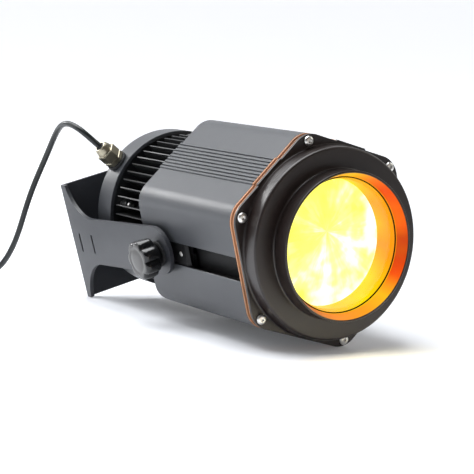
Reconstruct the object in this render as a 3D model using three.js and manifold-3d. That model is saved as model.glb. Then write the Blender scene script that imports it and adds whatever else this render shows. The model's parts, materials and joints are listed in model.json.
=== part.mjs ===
// Outdoor profile spotlight with a hexagonal housing, lying on its lower edge and one yoke corner.
// Millimetres. Lamp frame: optical axis along Y, light leaves towards -Y, origin on the axis at the
// front face of the hexagonal flange. Row frame: +Z up, origin under the middle of the lamp.
import * as THREE from 'three';
import { mergeVertices } from 'three/addons/utils/BufferGeometryUtils.js';
import Module from 'manifold-3d';

const wasm = await Module();
wasm.setup();

// ---- driving dimensions ----
const GAP = 0.3; // between touching pieces
const APOTHEM = 93.25; // hexagonal housing, axis to flat
const CORNER_RADIUS = 23;
const CORNER_CENTRE = (APOTHEM - CORNER_RADIUS) / Math.cos(Math.PI / 6);
const RIB_APOTHEM = 94.6; // the raised ribbed bands on the two upper faces
const RIB_BAND_HALF = 16.75;
const RIB_GROOVES = 8;
const RIB_GROOVE_PITCH = 4;
const RIB_GROOVE_WIDTH = 1.3;
const RIB_GROOVE_DEPTH = 1.2;
const SLOT_MOUTH_HALF = 11.4; // T-slot of the yoke sliders
const SLOT_HALF = 15.4;
const SLOT_LIP = 2.5;
const SLOT_DEPTH = 12.2;
const WALL = 4;
const HOUSING_FRONT = 9.9;
const HOUSING_REAR = 179;
const SCREW_CIRCLE = 98;
const SCREW_RADIUS = 2.5;
const SCREW_HOLE = 3.2;
const SCREW_HEAD = 4.9;

const BOSS_RADIUS = 90.85;
const BOSS_FRONT = -18.3;
const HOOD_RADIUS = 70.5;
const HOOD_FRONT = -37.3;
const GLASS_RADIUS = 63.8;
const GLASS_BORE = 64.2;
const LIGHT_BORE = 61;

const SINK_CORE = 50;
const FIN_RADIUS = 80.6;
const FIN_COUNT = 54;
const FIN_THICKNESS = 2;
const FIN_REAR = 263.5;
const CAP_RADIUS = 83.6;
const CAP_FRONT = 269.7;
const CAP_REAR = 302.5;
const CAP_FILLET = 8;
const CAP_WALL = 4;
const TIE_CIRCLE = 70;
const TIE_ANGLE = 158.5;
const TIE_COUNT = 3;

const GLAND_ANGLE = 128.5;
const GLAND_Y = 286.5;
const CORD_RADIUS = 3.15;

const PIVOT_Y = 140;
const YOKE_TILT = 3.976; // degrees, rear end down
const YOKE_OUTSIDE = 102;
const YOKE_THICKNESS = 4;
const YOKE_REACH = 190.5; // pivot to the plate's outer face
const YOKE_PLATE_HALF = 62;
const YOKE_ARM_TOP = 27; // the arm's edges and its end, measured from the pivot
const YOKE_ARM_BOTTOM = 22;
const YOKE_ARM_END = 22;
const YOKE_FLARE = 45; // radius from the arm's edges to the plate, and where it starts
const YOKE_FLARE_START = 134;
const YOKE_BEND = 4.5;
const SLIDER_FRONT = 101;
const LOCK_SCREW_Y = 115;
const STUD_RADIUS = 4;
const KNOB_RADIUS = 19.8;
const KNOB_VALLEY = 16.4;
const KNOB_FACE = 128;
const KNOB_LOBES = 7;

const GEAR_MODULE = 1.875;
const RING_TEETH = 32;
const PINION_TEETH = 8;
const GEAR_FRONT = 111.4;
const GEAR_WIDTH = 5;
const GEAR_CENTRES = (GEAR_MODULE * (RING_TEETH + PINION_TEETH)) / 2 + 0.3;

const COIL_CENTRE = new THREE.Vector2(-213, 304);
const COIL_RADIUS = 37.5;
const COIL_HALF_WIDTH = 9.5;
const COIL_HEIGHT = 19.4;
const COIL_EXIT_RADIUS = 41.2; // where the last turn leaves for the plug

// The moulded plug, and each pin's name, place across and up, and half thickness.
const PLUG_LENGTH = 62;
const PLUG_RELIEF = 30;
const PLUG_WIDTH = 27;
const PLUG_HEIGHT = 24;
const PLUG_CORNER = 6;
const PIN_LENGTH = 17;
const PIN_ROOT = 5;
const BLADE_WIDTH = 6.4;
const COIL_TO_PLUG = 30.5;
const PLUG_PINS = [
  ['plug_blade_1', -6.35, 3, 0.75],
  ['plug_blade_2', 6.35, 3, 0.75],
  ['plug_ground_pin', 0, -8.2, 2.4],
];
const PLUG_AXIS_HEIGHT = 12.2;

// The free stretch of the cord, from the gland to the coil, in the row frame.
const CORD_ROUTE = [
  [-92.1, 138.5, 165.1], [-98.4, 138.6, 169.5], [-105.4, 140.8, 175.4], [-111.6, 146.6, 181.2],
  [-115.8, 156.2, 185.2], [-117.4, 169, 185.6], [-116.2, 182.6, 180.8], [-114.8, 195.8, 170.6],
  [-115, 206.6, 155], [-117.8, 214.6, 138.2], [-121.8, 220.4, 121.4], [-125.8, 224.8, 104.6],
  [-129, 229, 86.8], [-131.6, 234, 67], [-134, 240.8, 49.6], [-136.8, 249.8, 34],
  [-140, 260.4, 21.6], [-145.6, 273, 11.6], [-152.4, 285.4, 5.6], [-158, 295.4, 3.6],
  [-161.8, 302.2, 3.4],
];

const rad = THREE.MathUtils.degToRad;

// ---- materials ----
function material(color, roughness, metalness, extra = {}) {
  return new THREE.MeshStandardMaterial({ color, roughness, metalness, ...extra });
}
const powderBlack = () => material(0x3c3e42, 0.5, 0.3);
const castBlack = () => material(0x2c2c30, 0.5, 0.3);
const anodised = () => material(0x1b1b1d, 0.6, 0.4);
const stainless = () => material(0xc8c8c8, 0.25, 1);
const nickel = () => material(0xbdb48c, 0.25, 1);
const silicone = () => material(0xc87846, 0.7, 0);
const blackRubber = () => material(0x151515, 0.8, 0);
const blackPlastic = () => material(0x161618, 0.35, 0);
const cordSheath = () => material(0x2a3234, 0.5, 0);
const glass = () => material(0xf4f6f4, 0.05, 0, { transparent: true, opacity: 0.35 });
const amberGlass = () => material(0xff9a20, 0.05, 0, { transparent: true, opacity: 0.5 });

// ---- solids ----
// Merges shared vertices, drops empty triangles and turns the faces outwards.
function closed(geometry) {
  const bare = geometry.clone();
  bare.deleteAttribute('normal');
  bare.deleteAttribute('uv');
  const merged = mergeVertices(bare, 1e-4);
  const index = merged.index.array;
  const position = merged.attributes.position;
  const a = new THREE.Vector3();
  const b = new THREE.Vector3();
  const c = new THREE.Vector3();
  const kept = [];
  let volume = 0;
  for (let i = 0; i < index.length; i += 3) {
    const [p, q, r] = [index[i], index[i + 1], index[i + 2]];
    if (p === q || q === r || r === p) continue;
    a.fromBufferAttribute(position, p);
    b.fromBufferAttribute(position, q);
    c.fromBufferAttribute(position, r);
    volume += a.dot(b.cross(c));
    kept.push(p, q, r);
  }
  if (volume < 0) kept.reverse();
  merged.setIndex(kept);
  return merged;
}

function solid(geometry) {
  const shape = closed(geometry);
  return new wasm.Manifold(new wasm.Mesh({
    numProp: 3,
    vertProperties: new Float32Array(shape.attributes.position.array),
    triVerts: new Uint32Array(shape.index.array),
  }));
}

function surface(manifold) {
  const mesh = manifold.getMesh();
  const geometry = new THREE.BufferGeometry();
  geometry.setAttribute('position', new THREE.BufferAttribute(mesh.vertProperties, 3));
  geometry.setIndex(new THREE.BufferAttribute(mesh.triVerts, 1));
  return closed(geometry);
}

function join(first, ...others) {
  return surface(others.reduce((sum, g) => sum.add(solid(g)), solid(first)));
}

function cut(first, ...others) {
  return surface(others.reduce((rest, g) => rest.subtract(solid(g)), solid(first)));
}

// A turned piece about Y from [radius, y] points that close on themselves or end on the axis.
function turned(points, segments = 24) {
  const loop = points.map(([r, y]) => new THREE.Vector2(r, y));
  if (points[0][0] > 0) loop.push(loop[0].clone());
  return new THREE.LatheGeometry(loop, segments);
}

function ring(inner, outer, y0, y1, segments = 24) {
  return turned([[inner, y0], [outer, y0], [outer, y1], [inner, y1]], segments);
}

function disc(radius, y0, y1, segments = 24) {
  return turned([[0, y0], [radius, y0], [radius, y1], [0, y1]], segments);
}

// A prism along Y of a closed outline of [x, z] points.
function prism(outline, y0, y1) {
  const shape = new THREE.Shape(outline.map(([x, z]) => new THREE.Vector2(x, z)));
  const geometry = new THREE.ExtrudeGeometry(shape, { depth: y1 - y0, bevelEnabled: false });
  geometry.rotateX(Math.PI / 2);
  geometry.translate(0, y1, 0);
  return geometry;
}

function block(width, depth, height, x, y, z) {
  return new THREE.BoxGeometry(width, depth, height).translate(x, y, z);
}

// Turns a piece made about Y so that it lies along +X (side 1) or -X (side -1).
function sideways(geometry, side) {
  return geometry.rotateZ(-side * Math.PI / 2);
}

function polar(radius, degrees) {
  return [radius * Math.cos(rad(degrees)), radius * Math.sin(rad(degrees))];
}

function hexagon(acrossFlats) {
  const corner = acrossFlats / Math.sqrt(3);
  return Array.from({ length: 6 }, (_, i) => polar(corner, 60 * i + 30));
}

function arc(cx, cz, radius, from, to, steps) {
  return Array.from({ length: steps + 1 }, (_, i) => {
    const [x, z] = polar(radius, from + ((to - from) * i) / steps);
    return [cx + x, cz + z];
  });
}

// ---- the housing's hexagonal outline ----
// Points of one face, given along the face and out from the axis, in the lamp's cross-section.
function onFace(normal, points) {
  const [nx, nz] = polar(1, normal);
  return points.map(([along, out]) => [out * nx - along * nz, out * nz + along * nx]);
}

function ribBand(grooved) {
  const points = [[-RIB_BAND_HALF, APOTHEM], [-RIB_BAND_HALF, RIB_APOTHEM]];
  if (grooved) {
    const first = (-(RIB_GROOVES - 1) * RIB_GROOVE_PITCH) / 2;
    const floor = RIB_APOTHEM - RIB_GROOVE_DEPTH;
    for (let i = 0; i < RIB_GROOVES; i++) {
      const low = first + i * RIB_GROOVE_PITCH - RIB_GROOVE_WIDTH / 2;
      const high = low + RIB_GROOVE_WIDTH;
      points.push([low, RIB_APOTHEM], [low, floor], [high, floor], [high, RIB_APOTHEM]);
    }
  }
  points.push([RIB_BAND_HALF, RIB_APOTHEM], [RIB_BAND_HALF, APOTHEM]);
  return points;
}

function slotCut() {
  const lip = APOTHEM - SLOT_LIP;
  const floor = APOTHEM - SLOT_DEPTH;
  return [
    [-SLOT_MOUTH_HALF, APOTHEM], [-SLOT_MOUTH_HALF, lip], [-SLOT_HALF, lip], [-SLOT_HALF, floor],
    [SLOT_HALF, floor], [SLOT_HALF, lip], [SLOT_MOUTH_HALF, lip], [SLOT_MOUTH_HALF, APOTHEM],
  ];
}

function hexOutline({ grooved, slotted }) {
  const outline = [];
  for (let face = 0; face < 6; face++) {
    const normal = 60 * face;
    if (face === 1 || face === 2) outline.push(...onFace(normal, ribBand(grooved)));
    if (slotted && face % 3 === 0) outline.push(...onFace(normal, slotCut()));
    const [cx, cz] = polar(CORNER_CENTRE, normal + 30);
    outline.push(...arc(cx, cz, CORNER_RADIUS, normal, normal + 60, 5));
  }
  return outline;
}

// The inside of the housing: flat walls, thick corners for the screws, and the T-slots' backs.
function innerOutline(inset = 0) {
  const flat = APOTHEM - WALL - inset;
  const corner = 27.4;
  const slotBack = APOTHEM - SLOT_DEPTH - 3.5 - inset;
  const slotSide = SLOT_HALF + 3.6 + inset;
  const outline = [];
  for (let face = 0; face < 6; face++) {
    const points = [[-corner, flat], [corner, flat]];
    if (face % 3 === 0) {
      points.splice(1, 0, [-slotSide, flat], [-slotSide, slotBack]);
      points.splice(3, 0, [slotSide, slotBack], [slotSide, flat]);
    }
    outline.push(...onFace(60 * face, points));
  }
  return outline;
}

function screwHoles(radius, y0, y1) {
  return Array.from({ length: 6 }, (_, i) => {
    const [x, z] = polar(SCREW_CIRCLE, 60 * i + 30);
    return disc(radius, y0, y1, 6).translate(x, 0, z);
  });
}

// ---- housing and front ----
function hexHousing() {
  const body = prism(hexOutline({ grooved: true, slotted: true }), HOUSING_FRONT, HOUSING_REAR);
  const inside = prism(innerOutline(), HOUSING_FRONT - 1, HOUSING_REAR + 1);
  return cut(body, inside, ...screwHoles(SCREW_HOLE, HOUSING_FRONT - 1, HOUSING_FRONT + 16));
}

function hexSheet(y0, y1, opening) {
  const sheet = prism(hexOutline({ grooved: false, slotted: false }), y0, y1);
  return cut(sheet, disc(opening, y0 - 1, y1 + 1, 32), ...screwHoles(SCREW_HOLE, y0 - 1, y1 + 1));
}

const FLANGE_REAR = 3.6;
const GLASS_SEAT = -16.5;

function frontCover() {
  const flange = prism(hexOutline({ grooved: false, slotted: false }), 0, FLANGE_REAR);
  const edge = 2.6;
  const boss = turned([
    [0, 1], [BOSS_RADIUS, 1], [BOSS_RADIUS, BOSS_FRONT + edge],
    [BOSS_RADIUS - 0.3 * edge, BOSS_FRONT + 0.3 * edge], [BOSS_RADIUS - edge, BOSS_FRONT],
    [HOOD_RADIUS + 1, BOSS_FRONT], [HOOD_RADIUS, BOSS_FRONT - 1],
    [HOOD_RADIUS, HOOD_FRONT + 1.4], [HOOD_RADIUS - 0.9, HOOD_FRONT], [0, HOOD_FRONT],
  ], 32);
  const bore = turned([
    [0, FLANGE_REAR + 1], [LIGHT_BORE, FLANGE_REAR + 1], [LIGHT_BORE, GLASS_SEAT],
    [GLASS_BORE, GLASS_SEAT], [GLASS_BORE, -24.6], [67.4, HOOD_FRONT], [67.9, HOOD_FRONT - 1],
    [0, HOOD_FRONT - 1],
  ], 32);
  const pocket = ring(66, 84, -13, FLANGE_REAR + 1, 24);
  return cut(join(flange, boss), bore, pocket, ...screwHoles(SCREW_HOLE, -1, FLANGE_REAR + 1));
}

function frontGlass() {
  return disc(GLASS_RADIUS, -22.8, GLASS_SEAT - 1.8, 32);
}

function glassSeal() {
  return ring(61.5, 63.8, GLASS_SEAT - 1.5, GLASS_SEAT - GAP, 32);
}

function retainingRing() {
  return ring(62.5, 63.9, -24.3, -23.1, 32);
}

// A button-head socket screw along Y with its head towards -Y.
function buttonScrew(headRadius, headFront, headHeight, shankRadius, end) {
  const head = headFront + headHeight;
  const screw = turned([
    [0, headFront], [headRadius * 0.6, headFront], [headRadius * 0.93, headFront + 0.45 * headHeight],
    [headRadius, head], [shankRadius, head], [shankRadius, end], [0, end],
  ], 8);
  const socket = prism(hexagon(headRadius * 0.66), headFront - 1, headFront + headHeight * 0.62);
  return cut(screw, socket);
}

function coverScrew(index) {
  const [x, z] = polar(SCREW_CIRCLE, 60 * index + 30);
  const height = 2.9;
  const end = HOUSING_FRONT + 14;
  return buttonScrew(SCREW_HEAD, -GAP - height, height, SCREW_RADIUS, end).translate(x, 0, z);
}

// ---- optics ----
function lensBarrel() {
  const tube = turned([
    [76, 8.1], [76, 11.1], [64, 11.1], [64, 60], [57, 60], [57, 15.6], [60.5, 15.6], [60.5, 8.1],
  ], 24);
  const rodSockets = [-1, 1].map((side) => disc(3.4, 7, 12, 8).translate(side * 70, 0, 0));
  return cut(tube, ...rodSockets);
}

// A plano-convex lens with its curved side towards -Y and a flat seating rim.
function lens(radius, vertex, edge, flat, segments = 24) {
  const rise = edge - vertex;
  const curved = radius - 2;
  const sphere = (curved * curved + rise * rise) / (2 * rise);
  const points = [[0, flat], [radius, flat], [radius, edge], [curved, edge]];
  for (let i = 3; i >= 1; i--) {
    const r = (curved * i) / 4;
    points.push([r, vertex + sphere - Math.sqrt(sphere * sphere - r * r)]);
  }
  points.push([0, vertex]);
  return turned(points, segments);
}

function guideRod(side) {
  return disc(3, 8.1, 107.7, 8).translate(side * 70, 0, 0);
}

const CARRIAGE_Y = 84;

function focusCarriage() {
  const plate = disc(62, CARRIAGE_Y - 4, CARRIAGE_Y + 4, 18);
  const ears = block(154, 8, 16, 0, CARRIAGE_Y, 0);
  const bore = disc(30.5, CARRIAGE_Y - 5, CARRIAGE_Y + 2, 18);
  const light = disc(28, CARRIAGE_Y - 5, CARRIAGE_Y + 5, 18);
  const rods = [-1, 1].map((side) => {
    return disc(3.5, CARRIAGE_Y - 5, CARRIAGE_Y + 5, 8).translate(side * 70, 0, 0);
  });
  return cut(join(plate, ears), bore, light, ...rods);
}

function focusLens() {
  return lens(30.2, CARRIAGE_Y - 8, CARRIAGE_Y - 3, CARRIAGE_Y + 2 - GAP, 18);
}

const GATE_FRONT = 108;

function gatePlate() {
  const plate = disc(74, GATE_FRONT, GATE_FRONT + 3, 32);
  const hub = disc(23.7, GATE_FRONT + 2, GATE_FRONT + 9.9, 18);
  const opening = disc(21, GATE_FRONT - 1, GATE_FRONT + 11, 18);
  return cut(join(plate, hub), opening);
}

function gearOutline(teeth, phase) {
  const pitch = (GEAR_MODULE * teeth) / 2;
  const outer = pitch + 0.8 * GEAR_MODULE;
  const root = pitch - 1.15 * GEAR_MODULE;
  const step = 360 / teeth;
  const outline = [];
  for (let i = 0; i < teeth; i++) {
    const middle = phase + i * step;
    outline.push(polar(root, middle - 0.31 * step), polar(outer, middle - 0.12 * step));
    outline.push(polar(outer, middle + 0.12 * step), polar(root, middle + 0.31 * step));
  }
  return outline;
}

function goboRing() {
  const gear = prism(gearOutline(RING_TEETH, 0), GEAR_FRONT, GEAR_FRONT + GEAR_WIDTH);
  const cup = ring(22.5, 28, GEAR_FRONT + 1, 119.9, 18);
  const bore = disc(24.6, GEAR_FRONT - 1, 118.3, 18);
  const rearBore = disc(20, 117, 121, 18);
  return cut(join(gear, cup), bore, rearBore);
}

function goboDisc() {
  return ring(2, 24, 120.2, 121, 18);
}

function motorPinion() {
  const outline = gearOutline(PINION_TEETH, 90 - 180 / PINION_TEETH);
  const gear = prism(outline, GEAR_FRONT, GEAR_FRONT + GEAR_WIDTH);
  const shaft = disc(1.5, GEAR_FRONT + 1, 121.7, 12);
  return join(gear, shaft).translate(0, 0, -GEAR_CENTRES);
}

function goboMotor() {
  const gearbox = block(15, 9, 15, 0, 126.5, -GEAR_CENTRES);
  const can = disc(7, 130, 148, 14).translate(0, 0, -GEAR_CENTRES);
  return join(gearbox, can);
}

function condenserHolder() {
  return turned([[26, 122], [29, 122], [29, 141], [24, 141], [24, 137.6], [26, 137.6]], 18);
}

function reflector() {
  return turned([
    [9, 162], [16, 157], [22, 150], [25.5, 143], [26.7, 143], [23.3, 150.6], [17.1, 158], [10, 163.2],
  ], 18);
}

function ledModule() {
  const board = block(34, 1.6, 34, 0, 164.2, 0);
  const chip = disc(7.5, 161.2, 164, 16);
  return join(board, chip);
}

// ---- heat sink and rear ----
function tiePlaces() {
  return Array.from({ length: TIE_COUNT }, (_, i) => {
    return polar(TIE_CIRCLE, TIE_ANGLE + (360 / TIE_COUNT) * i);
  });
}

const TIE_HEAD_FRONT = 249;
const TIE_HEAD_HEIGHT = 3.5;

function heatSink() {
  const outline = [];
  const step = 360 / FIN_COUNT;
  for (let i = 0; i < FIN_COUNT; i++) {
    const middle = 106.6 + i * step;
    const atRoot = THREE.MathUtils.radToDeg(FIN_THICKNESS / 2 / SINK_CORE);
    const atTip = THREE.MathUtils.radToDeg(FIN_THICKNESS / 2 / FIN_RADIUS);
    outline.push(polar(SINK_CORE, middle - atRoot), polar(FIN_RADIUS, middle - atTip));
    outline.push(polar(FIN_RADIUS, middle + atTip), polar(SINK_CORE, middle + atRoot));
  }
  const fins = prism(outline, HOUSING_REAR + GAP, FIN_REAR);
  const shaft = disc(SINK_CORE - 1, HOUSING_REAR - 5, HOUSING_REAR + 5, 24);
  const base = prism(innerOutline(0.4), 168, HOUSING_REAR - GAP);
  const pedestal = disc(30, 165.3, 169, 18);
  const neck = disc(SINK_CORE - 1, FIN_REAR - 4, CAP_FRONT - GAP, 24);
  const core = disc(42, 188, CAP_FRONT + 1, 18);
  const headRoom = tiePlaces().map(([x, z]) => disc(5, 240, 252.8, 10).translate(x, 0, z));
  const lugs = tiePlaces().map(([x, z]) => disc(5, 252.8, FIN_REAR, 10).translate(x, 0, z));
  const holes = tiePlaces().map(([x, z]) => disc(2.7, 250, 265, 6).translate(x, 0, z));
  const cleared = cut(join(fins, shaft, base, pedestal, neck), core, ...headRoom);
  return cut(join(cleared, ...lugs), ...holes);
}

function capPlate() {
  const holes = tiePlaces().map(([x, z]) => disc(2.7, 269, 275, 6).translate(x, 0, z));
  return cut(ring(44, 79.2, 271, 274, 24), ...holes);
}

function capGasket() {
  return ring(44, SINK_CORE - 2, CAP_FRONT, 271 - GAP, 18);
}

function glandAxis() {
  const [x, z] = polar(1, GLAND_ANGLE);
  return new THREE.Vector3(x, 0, z);
}

// Places a piece made about Y, with y as the distance from the lamp's axis, along the gland.
function alongGland(geometry) {
  const turn = new THREE.Quaternion().setFromUnitVectors(new THREE.Vector3(0, 1, 0), glandAxis());
  return geometry.applyQuaternion(turn).translate(0, GLAND_Y, 0);
}

function rearCap() {
  const profile = [[0, CAP_REAR]];
  const centre = CAP_RADIUS - CAP_FILLET;
  for (let i = 0; i <= 3; i++) {
    const [r, y] = polar(CAP_FILLET, 90 - 30 * i);
    profile.push([centre + r, CAP_REAR - CAP_FILLET + y]);
  }
  profile.push([CAP_RADIUS, CAP_FRONT], [CAP_RADIUS - CAP_WALL, CAP_FRONT]);
  profile.push([CAP_RADIUS - CAP_WALL, CAP_REAR - 6], [CAP_RADIUS - 6, CAP_REAR - CAP_WALL]);
  profile.push([0, CAP_REAR - CAP_WALL]);
  return cut(turned(profile, 32), alongGland(disc(8.3, 70, 90, 14)));
}

function tieScrew([x, z]) {
  return buttonScrew(4, TIE_HEAD_FRONT, TIE_HEAD_HEIGHT, 2, 276).translate(x, 0, z);
}

function driverBoard() {
  const board = block(88, 1.6, 76, 0, 283, 0);
  const transformer = block(26, 11, 22, -18, 289, 8);
  const capacitors = [-1, 1].map((side) => disc(5, 283, 294, 12).translate(22, 0, side * 12));
  return join(board, transformer, ...capacitors);
}

// ---- gland and cord ----
function glandHex(acrossFlats, from, to, bore) {
  return cut(prism(hexagon(acrossFlats), from, to), disc(bore, from - 1, to + 1, 14));
}

function glandBody() {
  const thread = disc(8, 75, 88, 14);
  const flange = prism(hexagon(19), 86.7, 92);
  const neck = disc(7.3, 91, 99, 14);
  return alongGland(cut(join(thread, flange, neck), disc(5.2, 70, 100, 14)));
}

function glandNut() {
  const nut = prism(hexagon(19), 92.3, 103);
  const dome = turned([[0, 102], [8.8, 102], [8.4, 106], [6.9, 110], [6, 111], [0, 111]], 16);
  const bore = turned([[0, 91], [7.7, 91], [7.7, 99.5], [5, 101], [5, 112], [0, 112]], 14);
  return alongGland(cut(join(nut, dome), bore));
}

function glandSeal() {
  return alongGland(turned([[3.2, 94], [4.7, 94], [4.7, 111], [4, 112], [3.2, 112]], 14));
}

function tube(points, radius, sides, steps) {
  const places = points.map((p) => new THREE.Vector3(...p));
  const route = new THREE.CatmullRomCurve3(places, false, 'centripetal');
  const round = arc(0, 0, radius, 0, 360 - 360 / sides, sides - 1);
  const section = new THREE.Shape(round.map(([x, y]) => new THREE.Vector2(x, y)));
  return new THREE.ExtrudeGeometry(section, { extrudePath: route, steps, bevelEnabled: false });
}

function plugBody() {
  const relief = turned([
    [0, 0], [3.9, 0], [4.2, 2], [5.6, 24], [7.2, 25], [7.2, PLUG_RELIEF], [0, PLUG_RELIEF],
  ], 16).rotateZ(Math.PI);
  const x = PLUG_WIDTH / 2 - PLUG_CORNER;
  const z = PLUG_HEIGHT / 2 - PLUG_CORNER;
  const section = [
    ...arc(x, z, PLUG_CORNER, 0, 90, 3), ...arc(-x, z, PLUG_CORNER, 90, 180, 3),
    ...arc(-x, -z, PLUG_CORNER, 180, 270, 3), ...arc(x, -z, PLUG_CORNER, 270, 360, 3),
  ];
  const body = prism(section, -PLUG_LENGTH, 2 - PLUG_RELIEF);
  const holes = PLUG_PINS.map(([, pinX, pinZ, half]) => {
    return block(2 * half + 0.8, 2 * PIN_ROOT + 2, BLADE_WIDTH + 1, pinX, -PLUG_LENGTH, pinZ);
  });
  return cut(join(relief, body), ...holes);
}

function plugPin([name, x, z, half]) {
  const y0 = -PLUG_LENGTH - PIN_LENGTH;
  const y1 = -PLUG_LENGTH + PIN_ROOT;
  if (name === 'plug_ground_pin') return disc(half, y0, y1, 16).translate(x, 0, z);
  return block(2 * half, y1 - y0, BLADE_WIDTH, x, (y0 + y1) / 2, z);
}

function cordCoil() {
  const inner = COIL_RADIUS - COIL_HALF_WIDTH;
  const outer = COIL_RADIUS + COIL_HALF_WIDTH;
  const geometry = ring(inner, outer, GAP, COIL_HEIGHT, 18);
  return geometry.rotateX(Math.PI / 2).translate(COIL_CENTRE.x, COIL_CENTRE.y, 0);
}

// ---- yoke and its clamps ----
function yokeSide() {
  const endRadius = (YOKE_ARM_TOP + YOKE_ARM_BOTTOM) / 2;
  const endCentre = [endRadius - YOKE_ARM_END, YOKE_ARM_TOP - endRadius];
  const flare = (edge) => {
    const end = Math.asin((YOKE_PLATE_HALF - edge - YOKE_FLARE) / YOKE_FLARE);
    return arc(YOKE_FLARE_START, edge + YOKE_FLARE, YOKE_FLARE, -90, THREE.MathUtils.radToDeg(end), 8);
  };
  const lower = flare(YOKE_ARM_BOTTOM).reverse().map(([u, v]) => [u, -v]);
  return [
    ...arc(...endCentre, endRadius, 180, 90, 8), ...flare(YOKE_ARM_TOP),
    [YOKE_REACH, YOKE_PLATE_HALF], [YOKE_REACH, -YOKE_PLATE_HALF],
    ...lower, ...arc(...endCentre, endRadius, 270, 202.5, 6),
  ];
}

function yokePlan() {
  const inside = YOKE_OUTSIDE - YOKE_THICKNESS;
  const innerBend = YOKE_BEND - YOKE_THICKNESS;
  const bend = YOKE_REACH - YOKE_BEND;
  const armEnd = -YOKE_ARM_END - 5;
  return [
    [-YOKE_OUTSIDE, armEnd],
    ...arc(-YOKE_OUTSIDE + YOKE_BEND, bend, YOKE_BEND, 180, 90, 4),
    ...arc(YOKE_OUTSIDE - YOKE_BEND, bend, YOKE_BEND, 90, 0, 4),
    [YOKE_OUTSIDE, armEnd], [inside, armEnd],
    ...arc(inside - innerBend, bend, innerBend, 0, 90, 2),
    ...arc(-inside + innerBend, bend, innerBend, 90, 180, 2),
    [-inside, armEnd],
  ];
}

// The yoke in its own frame: x across, y from the pivot towards the plate, z up.
function yoke() {
  const sideShape = new THREE.Shape(yokeSide().map(([u, v]) => new THREE.Vector2(u, v)));
  const depth = 2 * YOKE_OUTSIDE + 2;
  const side = new THREE.ExtrudeGeometry(sideShape, { depth, bevelEnabled: false });
  side.applyMatrix4(new THREE.Matrix4().makeBasis(
    new THREE.Vector3(0, 1, 0), new THREE.Vector3(0, 0, 1), new THREE.Vector3(1, 0, 0)));
  side.translate(-depth / 2, 0, 0);
  const planShape = new THREE.Shape(yokePlan().map(([x, u]) => new THREE.Vector2(x, u)));
  const plan = new THREE.ExtrudeGeometry(planShape, { depth: 160, bevelEnabled: false });
  plan.translate(0, 0, -80);
  const bent = surface(solid(side).intersect(solid(plan)));
  const width = 2 * YOKE_OUTSIDE + 10;
  const slots = [170.6, 142.7].map((u) => block(width, 2.5, 20.5, 0, u, -0.2));
  const pivotHole = sideways(disc(STUD_RADIUS + 0.5, -width / 2, width / 2, 14), 1);
  const mountHole = disc(5.3, YOKE_REACH - 10, YOKE_REACH + 5, 16);
  const mountSlots = [-1, 1].map((side) => block(24, 20, 8.5, side * 52, YOKE_REACH, 0));
  return cut(bent, ...slots, pivotHole, mountHole, ...mountSlots);
}

function sliderBlock(side) {
  const length = HOUSING_REAR - GAP - SLIDER_FRONT;
  const middle = SLIDER_FRONT + length / 2;
  const head = block(9, length, 30, 85.9, middle, 0);
  const face = block(3, length, 22, 90.4, middle, 0);
  const boss = sideways(disc(10.8, 90, 97.6, 16), 1).translate(0, PIVOT_Y, 0);
  const thread = sideways(disc(STUD_RADIUS + 0.3, 84, 99, 16), 1).translate(0, PIVOT_Y, 0);
  const lockHole = sideways(disc(2.8, 84, 93, 12), 1).translate(0, LOCK_SCREW_Y, 0);
  const geometry = cut(join(head, face, boss), thread, lockHole);
  return geometry.scale(side, 1, 1);
}

// The clamp's turned pieces are made about Y with y as the distance from the lamp's axis.
function atPivot(geometry, side) {
  return sideways(geometry, side).translate(0, PIVOT_Y, 0);
}

function lockScrew(side) {
  const screw = turned([[0, 84.3], [2.5, 84.3], [2.5, 91.6], [2.1, 92.1], [0, 92.1]], 12);
  const socket = prism(hexagon(2.5), 89.8, 93);
  return sideways(cut(screw, socket), side).translate(0, LOCK_SCREW_Y, 0);
}

function clampKnob() {
  const outline = [];
  const perLobe = 4;
  const bevel = 1.2;
  const rise = KNOB_RADIUS - bevel - KNOB_VALLEY;
  for (let i = 0; i < KNOB_LOBES * perLobe; i++) {
    const wave = 0.5 + 0.5 * Math.cos((2 * Math.PI * i) / perLobe);
    const angle = (360 * i) / (KNOB_LOBES * perLobe);
    outline.push(polar(KNOB_VALLEY + rise * Math.sqrt(wave), angle));
  }
  const shape = new THREE.Shape(outline.map(([x, z]) => new THREE.Vector2(x, z)));
  const head = new THREE.ExtrudeGeometry(shape, {
    depth: 14, bevelEnabled: true, bevelThickness: 2, bevelSize: bevel, bevelSegments: 1,
  });
  head.rotateX(-Math.PI / 2).translate(0, KNOB_FACE - 16.5, 0);
  const neck = turned([[0, 104.6], [11.5, 104.6], [12.5, 111], [0, 111]], 16);
  const dome = turned([
    [0, KNOB_FACE - 2], [13, KNOB_FACE - 2], [9, KNOB_FACE - 0.3], [0, KNOB_FACE],
  ], 16);
  const hole = disc(STUD_RADIUS + 0.3, 100, 114, 16);
  return cut(join(head, neck, dome), hole);
}

// ---- assembly ----
const model = new THREE.Group();
const lamp = new THREE.Group();
model.add(lamp);

function add(name, geometry, look, parent = lamp) {
  const mesh = new THREE.Mesh(closed(geometry), look);
  mesh.name = name;
  parent.add(mesh);
  return mesh;
}

function addFront() {
  add('front_cover', frontCover(), castBlack());
  add('retaining_ring', retainingRing(), blackRubber());
  add('front_glass', frontGlass(), glass());
  add('glass_seal', glassSeal(), blackRubber());
  add('front_gasket', hexSheet(3.9, 5.5, 82), silicone());
  add('lens_plate', hexSheet(5.8, 7.8, 58.6), stainless());
  add('rear_gasket', hexSheet(8.1, 9.6, 82), silicone());
  add('hex_housing', hexHousing(), powderBlack());
  for (let i = 0; i < 6; i++) add(`cover_screw_${i + 1}`, coverScrew(i), stainless());
}

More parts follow.
